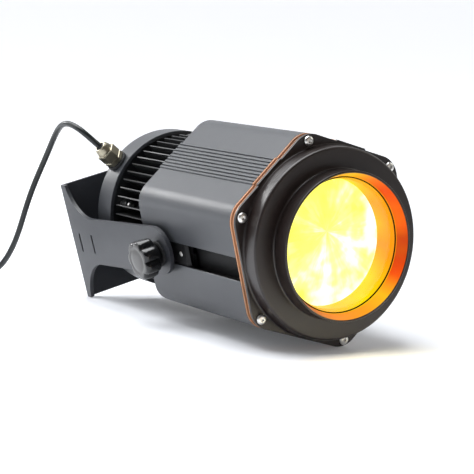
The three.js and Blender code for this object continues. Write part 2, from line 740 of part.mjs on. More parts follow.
function addOptics() {
  add('lens_barrel', lensBarrel(), anodised());
  add('front_lens', lens(60.2, -2, 8.2, 15.3), glass());
  add('guide_rod_1', guideRod(-1), stainless());
  add('guide_rod_2', guideRod(1), stainless());
  add('focus_carriage', focusCarriage(), anodised());
  add('focus_lens', focusLens(), glass());
  add('gate_plate', gatePlate(), anodised());
  add('gobo_ring', goboRing(), blackPlastic());
  add('gobo_disc', goboDisc(), stainless());
  add('motor_pinion', motorPinion(), nickel());
  add('gobo_motor', goboMotor(), stainless());
  add('condenser_holder', condenserHolder(), anodised());
  add('condenser_lens', lens(25.7, 126, 133, 137.3, 18), glass());
  add('colour_filter', disc(25.4, 141.3, 142.4, 18), amberGlass());
  add('reflector', reflector(), stainless());
  add('led_module', ledModule(), material(0xe8e0c0, 0.5, 0));
}

function addRear() {
  add('heat_sink', heatSink(), anodised());
  add('cap_plate', capPlate(), anodised());
  add('cap_gasket', capGasket(), blackRubber());
  add('rear_cap', rearCap(), powderBlack());
  tiePlaces().forEach((place, i) => add(`tie_screw_${i + 1}`, tieScrew(place), stainless()));
  add('driver_board', driverBoard(), material(0x2f6b45, 0.6, 0));
  add('gland_locknut', alongGland(glandHex(19, 74, 78, 8.3)), nickel());
  add('gland_washer', alongGland(ring(8.3, 11.5, 83.9, 86.4, 16)), blackRubber());
  add('gland_body', glandBody(), nickel());
  add('gland_nut', glandNut(), nickel());
  add('gland_seal', glandSeal(), blackRubber());
}

function addYoke() {
  const turn = new THREE.Group();
  turn.position.set(0, PIVOT_Y, 0);
  turn.rotation.x = rad(-YOKE_TILT);
  lamp.add(turn);
  add('yoke', yoke(), powderBlack(), turn);
  for (const [label, side] of [['left', -1], ['right', 1]]) {
    add(`slider_block_${label}`, sliderBlock(side), anodised());
    add(`lock_screw_${label}`, lockScrew(side), stainless());
    add(`clamp_washer_${label}`, atPivot(ring(4.4, 13, 102.4, 104.2, 16), side), blackRubber());
    add(`clamp_stud_${label}`, atPivot(disc(STUD_RADIUS, 84.5, 113.5, 16), side), stainless());
    add(`clamp_knob_${label}`, atPivot(clampKnob(), side), blackPlastic());
  }
}

// The cord and its plug lie on the ground beside the lamp, so they don't lean with it.
function addCord() {
  add('power_cord', tube(CORD_ROUTE, CORD_RADIUS, 8, 30), cordSheath(), model);
  add('cord_coil', cordCoil(), cordSheath(), model);
  const plug = new THREE.Group();
  plug.position.set(COIL_CENTRE.x - COIL_EXIT_RADIUS, COIL_CENTRE.y - COIL_TO_PLUG, PLUG_AXIS_HEIGHT);
  model.add(plug);
  add('plug_body', plugBody(), blackRubber(), plug);
  for (const pin of PLUG_PINS) add(pin[0], plugPin(pin), nickel(), plug);
}

addFront();
addOptics();
addRear();
addYoke();

// The lamp leans until its lower edge and the yoke's near lower corner both touch the ground.
function leanAngle() {
  const reach = YOKE_REACH - YOKE_BEND;
  const cornerDown = reach * Math.sin(rad(YOKE_TILT)) + YOKE_PLATE_HALF * Math.cos(rad(YOKE_TILT));
  const rise = CORNER_CENTRE - cornerDown;
  const span = Math.hypot(YOKE_OUTSIDE, rise);
  return Math.asin(CORNER_RADIUS / span) + Math.atan2(rise, YOKE_OUTSIDE);
}

lamp.rotation.y = -leanAngle();
model.updateMatrixWorld(true);
const box = new THREE.Box3().setFromObject(lamp, true);
const centre = box.getCenter(new THREE.Vector3());
lamp.position.set(-centre.x, -centre.y, -box.min.z);


addCord();

export default model;
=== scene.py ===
"""Outdoor profile spotlight lying on a white studio floor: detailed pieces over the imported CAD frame."""
import json
import math

import bmesh
import bpy
from mathutils import Matrix, Vector


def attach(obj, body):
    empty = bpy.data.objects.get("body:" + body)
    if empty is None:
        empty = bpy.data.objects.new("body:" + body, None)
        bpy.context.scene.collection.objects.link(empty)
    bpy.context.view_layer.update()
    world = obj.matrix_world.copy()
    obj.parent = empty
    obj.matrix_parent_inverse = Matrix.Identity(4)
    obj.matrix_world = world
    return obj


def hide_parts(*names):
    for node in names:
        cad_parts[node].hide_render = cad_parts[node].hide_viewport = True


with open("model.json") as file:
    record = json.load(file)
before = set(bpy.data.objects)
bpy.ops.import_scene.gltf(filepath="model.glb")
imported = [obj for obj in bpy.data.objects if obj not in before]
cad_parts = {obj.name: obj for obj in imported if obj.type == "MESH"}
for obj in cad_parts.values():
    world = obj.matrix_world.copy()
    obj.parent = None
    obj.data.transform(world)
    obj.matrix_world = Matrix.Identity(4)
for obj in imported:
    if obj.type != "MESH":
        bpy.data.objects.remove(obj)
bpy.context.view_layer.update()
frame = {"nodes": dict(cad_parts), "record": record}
scene = bpy.context.scene

MM = 0.001

# ---- the lamp's own frame: optical axis along Y, origin on the axis at the flange's front face ----
LEAN = math.radians(16.579433195)
LAMP = Matrix.Translation((0, -0.148520248, 0.100761948)) @ Matrix.Rotation(-LEAN, 4, "Y")

# ---- dimensions in millimetres, as in the CAD model ----
APOTHEM = 93.25
CORNER_RADIUS = 23
CORNER_CENTRE = (APOTHEM - CORNER_RADIUS) / math.cos(math.pi / 6)
RIB_APOTHEM = 94.6
RIB_BAND_HALF = 16.75
RIB_GROOVES = 8
RIB_GROOVE_PITCH = 4
RIB_GROOVE_WIDTH = 1.3
RIB_GROOVE_DEPTH = 1.2
SLOT_MOUTH_HALF = 11.4
SLOT_HALF = 15.4
SLOT_LIP = 2.5
SLOT_DEPTH = 12.2
WALL = 4
HOUSING_REAR = 179
SCREW_CIRCLE = 98
FLANGE_REAR = 3.6
BOSS_RADIUS = 90.85
BOSS_FRONT = -18.3
HOOD_RADIUS = 70.5
HOOD_FRONT = -37.3
SINK_CORE = 50
FIN_RADIUS = 80.6
FIN_COUNT = 54
FIN_REAR = 263.5
CAP_RADIUS = 83.6
CAP_FRONT = 269.7
CAP_REAR = 302.5
TIE_CIRCLE = 70
TIE_ANGLE = 158.5
GLAND_ANGLE = math.radians(128.5)
GLAND_Y = 286.5
GLAND_HEXAGON = 19
CORD_RADIUS = 3.15
PIVOT_Y = 140
YOKE_TILT = math.radians(3.976)
YOKE_OUTSIDE = 102
YOKE_THICKNESS = 4
YOKE_REACH = 190.5
YOKE_PLATE_HALF = 62
YOKE_ARM_TOP = 27
YOKE_ARM_BOTTOM = 22
YOKE_ARM_END = 22
YOKE_FLARE = 45
YOKE_FLARE_START = 134
YOKE_BEND = 4.5
SLIDER_FRONT = 101
LOCK_SCREW_Y = 115
KNOB_LOBES = 7

# ---- dimensions of the looks, in millimetres: some differ from the CAD model ----
HOUSING_FRONT = 9.75
YOKE_SLOTS = (170.6, 142.7)
KNOB_STEPS = 196
BORE_RADIUS = 61
LENS_RADIUS = 60.8
LENS_EDGE_FRONT = 1.4
LENS_BULGE = 9.2
GASKET_OPENING = 82
PLUG_PIN_END = -79

CORD_ROUTE = [
    (-92.1, 138.5, 165.1), (-98.4, 138.6, 169.5), (-105.4, 140.8, 175.4), (-111.6, 146.6, 181.2),
    (-115.8, 156.2, 185.2), (-117.4, 169, 185.6), (-116.2, 182.6, 180.8), (-114.8, 195.8, 170.6),
    (-115, 206.6, 155), (-117.8, 214.6, 138.2), (-121.8, 220.4, 121.4), (-125.8, 224.8, 104.6),
    (-129, 229, 86.8), (-131.6, 234, 67), (-134, 240.8, 49.6), (-136.8, 249.8, 34),
    (-140, 260.4, 21.6), (-145.6, 273, 11.6), (-152.4, 285.4, 5.6), (-158, 295.4, 3.6),
    (-161.8, 302.2, 3.3), (-168.3, 314, 3.3),
]
COIL_CENTRE = (-213, 304)
COIL_TURNS = 4.42
COIL_START_ANGLE = math.radians(29.4)
COIL_OUTER = 43.8
COIL_PITCH = 6.35
PLUG_PLACE = (-254.2, 273.5, 12.2)
PLUG_PINS = [
    ("plug_blade_1", -6.35, 3, 0.75),
    ("plug_blade_2", 6.35, 3, 0.75),
    ("plug_ground_pin", 0, -8.2, 2.4),
]


# ---- outlines and profiles in two dimensions ----
def polar(radius, angle):
    return radius * math.cos(angle), radius * math.sin(angle)


def circle(y, radius, segments=48):
    """A ring of (x, y, z) points round the Y axis."""
    ring = []
    for i in range(segments):
        x, z = polar(radius, 2 * math.pi * i / segments)
        ring.append((x, y, z))
    return ring


def arc(cx, cy, radius, start, end, steps):
    """Points on an arc, with its angles in degrees."""
    points = []
    for i in range(steps + 1):
        x, y = polar(radius, math.radians(start + (end - start) * i / steps))
        points.append((cx + x, cy + y))
    return points


def filleted(points, closed=True):
    """Rounds the corners of a polyline whose points may carry a radius as third value."""
    made = []
    count = len(points)
    for i, point in enumerate(points):
        here = Vector(point[:2])
        radius = point[2] if len(point) > 2 else 0
        if radius == 0 or (not closed and i in (0, count - 1)):
            made.append(tuple(here))
            continue
        before = Vector(points[i - 1][:2]) - here
        after = Vector(points[(i + 1) % count][:2]) - here
        half = before.angle(after) / 2
        reach = min(radius / math.tan(half), 0.48 * before.length, 0.48 * after.length)
        radius = reach * math.tan(half)
        towards = before.normalized() + after.normalized()
        centre = here + towards.normalized() * (radius / math.sin(half))
        first = here + before.normalized() * reach - centre
        last = here + after.normalized() * reach - centre
        turn = math.pi - 2 * half
        steps = max(2, math.ceil(math.degrees(turn) / 12))
        for k in range(steps + 1):
            t = k / steps
            spoke = (first * math.sin((1 - t) * turn) + last * math.sin(t * turn)) / math.sin(turn)
            made.append(tuple(centre + spoke))
    return made


def inset(outline, distance):
    """The closed outline moved inwards, for one drawn counter-clockwise."""
    moved = []
    count = len(outline)
    for i in range(count):
        here = Vector(outline[i])
        back = here - Vector(outline[i - 1])
        on = Vector(outline[(i + 1) % count]) - here
        n1 = Vector((-back.y, back.x)).normalized()
        n2 = Vector((-on.y, on.x)).normalized()
        middle = n1 + n2
        middle.normalize()
        moved.append(tuple(here + middle * (distance / max(0.5, middle.dot(n1)))))
    return moved


# ---- meshes, given in millimetres ----
def mesh_object(name, verts, faces, place=LAMP, sharp=32):
    mesh = bpy.data.meshes.new(name)
    mesh.from_pydata([tuple(c * MM for c in v) for v in verts], [], faces)
    obj = bpy.data.objects.new(name, mesh)
    scene.collection.objects.link(obj)
    obj.matrix_world = place
    tidy_mesh(mesh, sharp)
    return obj


def tidy_mesh(mesh, sharp=32):
    """Merges doubles, turns faces outwards, and shades smooth except across edges sharper than this."""
    bm = bmesh.new()
    bm.from_mesh(mesh)
    bmesh.ops.remove_doubles(bm, verts=bm.verts, dist=1e-6)
    bmesh.ops.recalc_face_normals(bm, faces=bm.faces)
    bm.to_mesh(mesh)
    bm.free()
    mesh.shade_smooth()
    mesh.set_sharp_from_angle(angle=math.radians(sharp))


def loft(name, rings, closed=False, place=LAMP, sharp=32):
    """Skin through rings of equally many points; the ends are flat caps unless the loft is closed."""
    count = len(rings[0])
    verts = [point for ring in rings for point in ring]
    faces = []
    for k in range(len(rings) if closed else len(rings) - 1):
        low = k * count
        high = ((k + 1) % len(rings)) * count
        for i in range(count):
            j = (i + 1) % count
            faces.append((low + i, low + j, high + j, high + i))
    if not closed:
        faces.append(tuple(reversed(range(count))))
        faces.append(tuple(range(len(verts) - count, len(verts))))
    return mesh_object(name, verts, faces, place, sharp)


def turned(name, profile, segments=96, closed=True, place=LAMP):
    """A piece turned about Y from (radius, y) points, with an optional fillet radius on each."""
    rings = [circle(y, max(radius, 0.01), segments) for radius, y in filleted(profile, closed)]
    return loft(name, rings, closed, place)


def prism(name, outline, y0, y1, edge=0.0, place=LAMP):
    """A prism along Y of an (x, z) outline drawn counter-clockwise, with its rims rounded by edge."""
    def ring(y, distance):
        path = inset(outline, distance) if distance else outline
        return [(x, y, z) for x, z in path]

    if edge:
        rings = [
            ring(y0, edge), ring(y0 + 0.29 * edge, 0.29 * edge), ring(y0 + edge, 0),
            ring(y1 - edge, 0), ring(y1 - 0.29 * edge, 0.29 * edge), ring(y1, edge),
        ]
    else:
        rings = [ring(y0, 0), ring(y1, 0)]
    return loft(name, rings, False, place)


def applied(obj):
    """Puts the result of the object's modifiers in its mesh."""
    bpy.context.view_layer.update()
    evaluated = obj.evaluated_get(bpy.context.evaluated_depsgraph_get())
    result = bpy.data.meshes.new_from_object(evaluated)
    if not result.polygons:
        raise ValueError(f"nothing is left of {obj.name}")
    obj.modifiers.clear()
    obj.data = result


def combine(obj, operation, *tools, solver="EXACT"):
    """Applies a boolean with each tool and removes the tools."""
    for tool in tools:
        modifier = obj.modifiers.new("combine", "BOOLEAN")
        modifier.operation = operation
        modifier.solver = solver
        modifier.object = tool
        applied(obj)
        bpy.data.objects.remove(tool)
    tidy_mesh(obj.data)
    return obj


def bevelled(obj, width, segments=2):
    """Rounds sharp edges with an applied bevel, after flat faces are merged."""
    bm = bmesh.new()
    bm.from_mesh(obj.data)
    bmesh.ops.dissolve_limit(bm, angle_limit=math.radians(1), verts=bm.verts, edges=bm.edges)
    bm.to_mesh(obj.data)
    bm.free()
    modifier = obj.modifiers.new("bevel", "BEVEL")
    modifier.width = width * MM
    modifier.segments = segments
    modifier.limit_method = "ANGLE"
    modifier.angle_limit = math.radians(35)
    modifier.use_clamp_overlap = True
    applied(obj)
    tidy_mesh(obj.data)
    return obj


def join(name, *objects):
    """One object from several that share a place."""
    bm = bmesh.new()
    for obj in objects:
        bm.from_mesh(obj.data)
    mesh = bpy.data.meshes.new(name)
    bm.to_mesh(mesh)
    bm.free()
    joined = bpy.data.objects.new(name, mesh)
    scene.collection.objects.link(joined)
    joined.matrix_world = objects[0].matrix_world.copy()
    for obj in objects:
        bpy.data.objects.remove(obj)
    mesh.shade_smooth()
    mesh.set_sharp_from_angle(angle=math.radians(32))
    return joined


def settle(obj, body, slot, *nodes, look=None):
    """Puts a piece under its body, gives it the material of its look or else of its record slot, and hides
    the CAD nodes it stands for.
    """
    if obj.type == "MESH":
        obj.data.transform(obj.matrix_world)
        obj.matrix_world = Matrix.Identity(4)
        normals = obj.modifiers.new("normals", "WEIGHTED_NORMAL")
        normals.keep_sharp = True
    obj.data.materials.clear()
    obj.data.materials.append(LOOKS[look or slot])
    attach(obj, body)
    if nodes:
        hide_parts(*nodes)
    return obj


def extra_look(obj, look, chosen):
    """Gives another look to the faces that chosen(largest radius, centre, outwardness) picks.

    The three are measured in the lamp's own frame, in millimetres.
    """
    index = len(obj.data.materials)
    obj.data.materials.append(LOOKS[look])
    inverse = LAMP.inverted()
    turn = inverse.to_3x3()
    for face in obj.data.polygons:
        centre = inverse @ face.center / MM
        normal = turn @ face.normal
        corners = [inverse @ obj.data.vertices[i].co / MM for i in face.vertices]
        reach = max(math.hypot(corner.x, corner.z) for corner in corners)
        away = (normal.x * centre.x + normal.z * centre.z) / max(math.hypot(centre.x, centre.z), 0.01)
        if chosen(reach, centre, away):
            face.material_index = index


# ---- materials ----
def new_material(name):
    material = bpy.data.materials.new(name)
    material.use_nodes = True
    tree = material.node_tree
    tree.nodes.clear()
    return material, tree


def node(tree, kind, **values):
    made = tree.nodes.new(kind)
    for key, value in values.items():
        setattr(made, key, value)
    return made


def noise(tree, coords, scale, detail=4.0, roughness=0.55, stretch=None):
    source = coords
    if stretch:
        mapping = node(tree, "ShaderNodeMapping")
        mapping.inputs["Scale"].default_value = stretch
        tree.links.new(coords, mapping.inputs["Vector"])
        source = mapping.outputs["Vector"]
    texture = node(tree, "ShaderNodeTexNoise")
    texture.inputs["Scale"].default_value = scale
    texture.inputs["Detail"].default_value = detail
    texture.inputs["Roughness"].default_value = roughness
    tree.links.new(source, texture.inputs["Vector"])
    return texture.outputs["Fac"]


def spread(tree, value, low, high, to_low, to_high):
    """Maps a value onto another range."""
    made = node(tree, "ShaderNodeMapRange")
    for key, number in (("From Min", low), ("From Max", high), ("To Min", to_low), ("To Max", to_high)):
        made.inputs[key].default_value = number
    tree.links.new(value, made.inputs["Value"])
    return made.outputs["Result"]


def ramp(tree, value, stops):
    made = node(tree, "ShaderNodeValToRGB")
    elements = made.color_ramp.elements
    while len(elements) < len(stops):
        elements.new(0.5)
    for element, (position, colour) in zip(elements, stops):
        element.position = position
        element.color = (*colour, 1)
    tree.links.new(value, made.inputs["Fac"])
    return made.outputs["Color"]


def blend_colour(tree, factor, first, second):
    made = node(tree, "ShaderNodeMix", data_type="RGBA")
    if isinstance(factor, (int, float)):
        made.inputs["Factor"].default_value = factor
    else:
        tree.links.new(factor, made.inputs["Factor"])
    for socket, colour in ((made.inputs[6], first), (made.inputs[7], second)):
        if isinstance(colour, tuple):
            socket.default_value = (*colour, 1)
        else:
            tree.links.new(colour, socket)
    return made.outputs[2]


def coated(name, colour, rough, metal=0.0, grain=1800, grain_height=0.02, mottle=0.06, specular=0.5):
    """A finish with fine grain in its bump, and soft variation of its colour and gloss."""
    material, tree = new_material(name)
    shader = node(tree, "ShaderNodeBsdfPrincipled")
    output = node(tree, "ShaderNodeOutputMaterial")
    tree.links.new(shader.outputs["BSDF"], output.inputs["Surface"])
    coords = node(tree, "ShaderNodeTexCoord").outputs["Object"]
    broad = noise(tree, coords, 14, 4, 0.5)
    fine = noise(tree, coords, grain, 3, 0.6)
    dark = tuple(c * (1 - mottle) for c in colour)
    light = tuple(min(1, c * (1 + mottle)) for c in colour)
    tone = ramp(tree, broad, [(0.3, dark), (0.7, light)])
    tree.links.new(tone, shader.inputs["Base Color"])
    patches = noise(tree, coords, 30, 5, 0.6)
    gloss = spread(tree, patches, 0.3, 0.7, rough * 0.93, min(1, rough * 1.08))
    tree.links.new(gloss, shader.inputs["Roughness"])
    shader.inputs["Metallic"].default_value = metal
    shader.inputs["Specular IOR Level"].default_value = specular
    bump = node(tree, "ShaderNodeBump")
    bump.inputs["Strength"].default_value = 0.5
    bump.inputs["Distance"].default_value = grain_height * MM
    tree.links.new(fine, bump.inputs["Height"])
    tree.links.new(bump.outputs["Normal"], shader.inputs["Normal"])
    return material


def clear_glass(name, tint=(1, 1, 1)):
    """Clear glass: see-through, with a Fresnel gloss on its front faces and faint smears."""
    material, tree = new_material(name)
    output = node(tree, "ShaderNodeOutputMaterial")
    through = node(tree, "ShaderNodeBsdfTransparent")
    through.inputs["Color"].default_value = (*tint, 1)
    gloss = node(tree, "ShaderNodeBsdfGlossy")
    coords = node(tree, "ShaderNodeTexCoord").outputs["Object"]
    smear = spread(tree, noise(tree, coords, 45, 4), 0.3, 0.7, 0.015, 0.07)
    tree.links.new(smear, gloss.inputs["Roughness"])
    fresnel = node(tree, "ShaderNodeFresnel")
    fresnel.inputs["IOR"].default_value = 1.45
    front_only = node(tree, "ShaderNodeMath", operation="SUBTRACT", use_clamp=True)
    tree.links.new(fresnel.outputs[0], front_only.inputs[0])
    tree.links.new(node(tree, "ShaderNodeNewGeometry").outputs["Backfacing"], front_only.inputs[1])
    mix = node(tree, "ShaderNodeMixShader")
    tree.links.new(front_only.outputs[0], mix.inputs[0])
    tree.links.new(through.outputs[0], mix.inputs[1])
    tree.links.new(gloss.outputs[0], mix.inputs[2])
    tree.links.new(mix.outputs[0], output.inputs["Surface"])
    return material


def lamp_coordinates(tree):
    """The place in the lamp's own frame, in metres."""
    back = LAMP.inverted()
    mapping = node(tree, "ShaderNodeMapping")
    mapping.inputs["Location"].default_value = back.translation
    mapping.inputs["Rotation"].default_value = back.to_euler("XYZ")
    tree.links.new(node(tree, "ShaderNodeTexCoord").outputs["Object"], mapping.inputs["Vector"])
    return mapping.outputs["Vector"]


def around_axis(tree, coords, offset_x=0.0, offset_z=0.0):
    """Turn from 0 to 1 about the lamp's axis, distance from it in metres, and the split coordinates."""
    split = node(tree, "ShaderNodeSeparateXYZ")
    tree.links.new(coords, split.inputs[0])
    moved = []
    for axis, offset in (("X", offset_x), ("Z", offset_z)):
        shift = node(tree, "ShaderNodeMath", operation="SUBTRACT")
        tree.links.new(split.outputs[axis], shift.inputs[0])
        shift.inputs[1].default_value = offset
        moved.append(shift.outputs[0])
    angle = node(tree, "ShaderNodeMath", operation="ARCTAN2")
    tree.links.new(moved[1], angle.inputs[0])
    tree.links.new(moved[0], angle.inputs[1])
    turn = spread(tree, angle.outputs[0], -math.pi, math.pi, 0.0, 1.0)
    flat = node(tree, "ShaderNodeCombineXYZ")
    tree.links.new(moved[0], flat.inputs["X"])
    tree.links.new(moved[1], flat.inputs["Y"])
    length = node(tree, "ShaderNodeVectorMath", operation="LENGTH")
    tree.links.new(flat.outputs[0], length.inputs[0])
    return turn, length.outputs["Value"], split


def glowing(name, colour, strength, rough=0.5, base=(0.008, 0.003, 0.001)):
    """A near-black surface that gives off the colour that colour(tree) builds."""
    material, tree = new_material(name)
    output = node(tree, "ShaderNodeOutputMaterial")
    shader = node(tree, "ShaderNodeBsdfPrincipled")
    shader.inputs["Base Color"].default_value = (*base, 1)
    shader.inputs["Roughness"].default_value = rough
    shader.inputs["Specular IOR Level"].default_value = 0.1
    shader.inputs["Emission Strength"].default_value = strength
    tree.links.new(colour(tree), shader.inputs["Emission Color"])
    tree.links.new(shader.outputs["BSDF"], output.inputs["Surface"])
    return material


def hood_glow(tree):
    """The hood's inside, painted light: the lamp's light on this cast wall, given off as glow, red-orange on
    its right, yellower above and below, streaked.
    """
    coords = lamp_coordinates(tree)
    turn, _, _ = around_axis(tree, coords)
    amber = (1.0, 0.36, 0.012)
    yellow = (1.0, 0.55, 0.01)
    red = (0.95, 0.075, 0.004)
    deep = (0.62, 0.035, 0.004)
    base = ramp(tree, turn, [
        (0.0, (0.35, 0.06, 0.01)), (0.12, (0.5, 0.1, 0.015)), (0.2, (1.0, 0.28, 0.03)), (0.27, amber),
        (0.33, yellow), (0.36, (1.0, 0.3, 0.01)), (0.385, red), (0.44, deep), (0.475, deep), (0.5, red),
        (0.56, red), (0.6, (0.9, 0.07, 0.004)), (0.645, (1.0, 0.2, 0.01)), (0.7, yellow),
        (0.76, amber), (0.84, (0.8, 0.2, 0.02)), (0.92, (0.4, 0.08, 0.01)), (1.0, (0.35, 0.06, 0.01)),
    ])
    streaks = noise(tree, coords, 26, 3, 0.5, (1, 0.35, 1))
    return blend_colour(tree, spread(tree, streaks, 0.35, 0.7, 0.0, 0.35), base, (1.0, 0.3, 0.01))


def bore_glow(tree):
    """Painted light on the wall between the glass and the lens, given off as glow: yellow near the lens,
    orange towards the glass.
    """
    coords = lamp_coordinates(tree)
    turn, _, split = around_axis(tree, coords)
    along = spread(tree, split.outputs["Y"], -0.02, 0.004, 0.0, 1.0)
    near_glass = ramp(tree, turn, [
        (0.0, (0.9, 0.4, 0.02)), (0.2, (1.0, 0.5, 0.02)), (0.3, (1.0, 0.75, 0.0)), (0.42, (1.0, 0.33, 0.008)),
        (0.55, (1.0, 0.36, 0.008)), (0.7, (1.0, 0.5, 0.01)), (1.0, (0.9, 0.4, 0.02)),
    ])
    near_lens = ramp(tree, turn, [
        (0.0, (1.0, 0.7, 0.02)), (0.25, (1.0, 0.65, 0.008)), (0.36, (1.0, 0.85, 0.01)),
        (0.45, (1.0, 0.36, 0.006)), (0.5, (1.0, 0.6, 0.01)), (0.56, (1.0, 0.4, 0.006)),
        (0.64, (1.0, 0.75, 0.01)), (0.75, (1.0, 0.75, 0.02)), (1.0, (1.0, 0.7, 0.02)),
    ])
    return blend_colour(tree, along, near_glass, near_lens)


def lens_glow(tree):
    """The lit lens: yellow and white streaks fanning out from its middle, whitest low on the right."""
    coords = lamp_coordinates(tree)
    turn, length, _ = around_axis(tree, coords, -0.002, 0.012)
    fan = node(tree, "ShaderNodeCombineXYZ")
    tree.links.new(spread(tree, turn, 0, 1, 0, 30), fan.inputs["X"])
    tree.links.new(spread(tree, length, 0, 0.08, 0, 1.6), fan.inputs["Y"])
    rays = noise(tree, fan.outputs[0], 1.0, 3, 0.6)
    wide = node(tree, "ShaderNodeCombineXYZ")
    tree.links.new(spread(tree, turn, 0, 1, 0, 9), wide.inputs["X"])
    tree.links.new(spread(tree, length, 0, 0.08, 3, 6.5), wide.inputs["Y"])
    facets = noise(tree, wide.outputs[0], 1.0, 2, 0.5)
    clouds = noise(tree, coords, 30, 3, 0.55)
    low_right = node(tree, "ShaderNodeVectorMath", operation="DOT_PRODUCT")
    tree.links.new(coords, low_right.inputs[0])
    low_right.inputs[1].default_value = (4.0, 0, -9.0)
    total = node(tree, "ShaderNodeMath", operation="ADD")
    tree.links.new(spread(tree, rays, 0.25, 0.75, -0.22, 0.22), total.inputs[0])
    tree.links.new(spread(tree, facets, 0.3, 0.7, -0.25, 0.25), total.inputs[1])
    more = node(tree, "ShaderNodeMath", operation="ADD")
    tree.links.new(total.outputs[0], more.inputs[0])
    tree.links.new(spread(tree, clouds, 0.3, 0.7, -0.3, 0.3), more.inputs[1])
    white = node(tree, "ShaderNodeMath", operation="ADD")
    tree.links.new(more.outputs[0], white.inputs[0])
    tree.links.new(spread(tree, low_right.outputs["Value"], -1, 1, 0.02, 0.98), white.inputs[1])
    return ramp(tree, white.outputs[0], [
        (0.0, (0.93, 0.84, 0.02)), (0.28, (0.97, 0.95, 0.06)), (0.54, (0.98, 0.98, 0.22)),
        (0.74, (1.0, 1.0, 0.6)), (0.92, (1.0, 1.0, 0.97)),
    ])


LOOKS = {
    "powder_black": coated("powder_black", (0.042, 0.045, 0.051), 0.39, grain=2600, mottle=0.03),
    "yoke_black": coated("yoke_black", (0.03, 0.032, 0.038), 0.39, grain=2600, mottle=0.04),
    "cast_black": coated("cast_black", (0.016, 0.0105, 0.0095), 0.33, grain=1500, grain_height=0.04,
                         mottle=0.12),
    "black_anodised": coated("black_anodised", (0.022, 0.023, 0.024), 0.36, metal=0.3, grain=900,
                             grain_height=0.012, mottle=0.12),
    # painted shade: near-black for the shade inside the housing's side channels and on the slider blocks in
    # them
    "channel_painted_shade": coated("channel_painted_shade", (0.006, 0.006, 0.0065), 0.5, grain=1200, mottle=0.1,
                            specular=0.18),
    # painted reflection: a lighter grey for the bright surroundings reflected in the knob's glossy front face
    "knob_painted_sheen": coated("knob_painted_sheen", (0.085, 0.083, 0.08), 0.3, metal=0.3, grain=1400, mottle=0.12),
    "stainless": coated("stainless", (0.8, 0.79, 0.76), 0.3, metal=1.0, grain=2200, grain_height=0.012,
                        mottle=0.08),
    "reflector_metal": coated("reflector_metal", (0.85, 0.84, 0.8), 0.12, metal=1.0, grain=900,
                              grain_height=0.01),
    "nickel_brass": coated("nickel_brass", (0.34, 0.31, 0.235), 0.34, metal=1.0, grain=1500,
                           grain_height=0.015, mottle=0.15),
    "orange_silicone": coated("orange_silicone", (0.46, 0.22, 0.11), 0.6, grain=800, grain_height=0.06,
                              mottle=0.25),
    "black_rubber": coated("black_rubber", (0.016, 0.016, 0.017), 0.7, grain=1100, grain_height=0.06),
    "black_plastic": coated("black_plastic", (0.005, 0.005, 0.0055), 0.17, grain=1300, grain_height=0.012,
                            specular=0.6, mottle=0.2),
    "cord_sheath": coated("cord_sheath", (0.006, 0.009, 0.0095), 0.3, grain=1200, grain_height=0.03,
                          mottle=0.2),
    "led_board": coated("led_board", (0.8, 0.76, 0.6), 0.5, grain=900),
    "circuit_board": coated("circuit_board", (0.03, 0.14, 0.07), 0.45, grain=700),
    "clear_glass": clear_glass("clear_glass"),
    "amber_filter": clear_glass("amber_filter", (1.0, 0.6, 0.12)),
    "ring_brown": coated("ring_brown", (0.03, 0.008, 0.002), 0.8, grain=900, specular=0.1),
    "hood_glow": glowing("hood_glow", hood_glow, 1.0),
    "bore_glow": glowing("bore_glow", bore_glow, 1.05),
    "lens_glow": glowing("lens_glow", lens_glow, 1.1, rough=0.08, base=(0.3, 0.3, 0.25)),
}

SLOT_OF = {part["node"]: part["material_slot"] for part in frame["record"]["subparts"]}
# painted light: the CAD glass seal takes the bore's glow; the other CAD nodes take their slot's look
for name, carried in frame["nodes"].items():
    carried.data.materials.clear()
    carried.data.materials.append(LOOKS["bore_glow" if name == "glass_seal" else SLOT_OF[name]])


# ---- camera: a long lens, rolled slightly ----
CAMERA_LENS = 132.2278
CAMERA_PLACE = (-0.94741, -1.46407, 0.28055)


def add_camera():
    right = Vector((0.84253, -0.53496, 0.06291))
    up = Vector((0.00675, 0.12728, 0.99184))
    back = Vector((-0.5386, -0.83524, 0.11085))
    data = bpy.data.cameras.new("camera")
    data.sensor_width = 36
    data.lens = CAMERA_LENS
    data.clip_start = 0.05
    data.clip_end = 50
    camera = bpy.data.objects.new("camera", data)
    scene.collection.objects.link(camera)
    turn = Matrix((right, up, back)).transposed().to_4x4()
    camera.matrix_world = Matrix.Translation(CAMERA_PLACE) @ turn
    scene.camera = camera


add_camera()


# ---- the cord, its coil and its plug ----
def coil_points():
    """The spiral layers: inwards on the ground, outwards on top of that, then part of a third layer."""
    points = []
    steps = round(COIL_TURNS * 24)
    for i in range(steps + 1):
        t = i / 24
        if t <= 2:
            radius = COIL_OUTER - COIL_PITCH * t
        elif t <= 4:
            radius = COIL_OUTER - COIL_PITCH * (4 - t)
        else:
            radius = COIL_OUTER - COIL_PITCH * (t - 4)
        layer = sum(min(1, max(0, (t - rise + 0.1) / 0.2)) for rise in (2, 4))
        x, y = polar(radius, COIL_START_ANGLE + 2 * math.pi * t)
        points.append((COIL_CENTRE[0] + x, COIL_CENTRE[1] + y, 3.3 + 2 * CORD_RADIUS * layer))
    return points


def add_cord():
    px, py, pz = PLUG_PLACE
    points = [Vector(p) * MM for p in CORD_ROUTE + coil_points() + [
        (px, py + 20, 15.4), (px, py + 10, 13.4), (px, py - 2, pz),
    ]]
    curve = bpy.data.curves.new("mains_cord", "CURVE")
    curve.dimensions = "3D"
    spline = curve.splines.new("NURBS")
    spline.points.add(len(points) - 1)
    for place, point in zip(spline.points, points):
        place.co = (*point, 1)
    spline.order_u = 4
    spline.use_endpoint_u = True
    spline.resolution_u = 4
    curve.bevel_depth = CORD_RADIUS * MM
    curve.bevel_resolution = 5
    curve.use_fill_caps = True
    cord = bpy.data.objects.new("mains_cord", curve)
    scene.collection.objects.link(cord)
    settle(cord, "lamp", "cord_sheath", "power_cord", "cord_coil")
    return cord


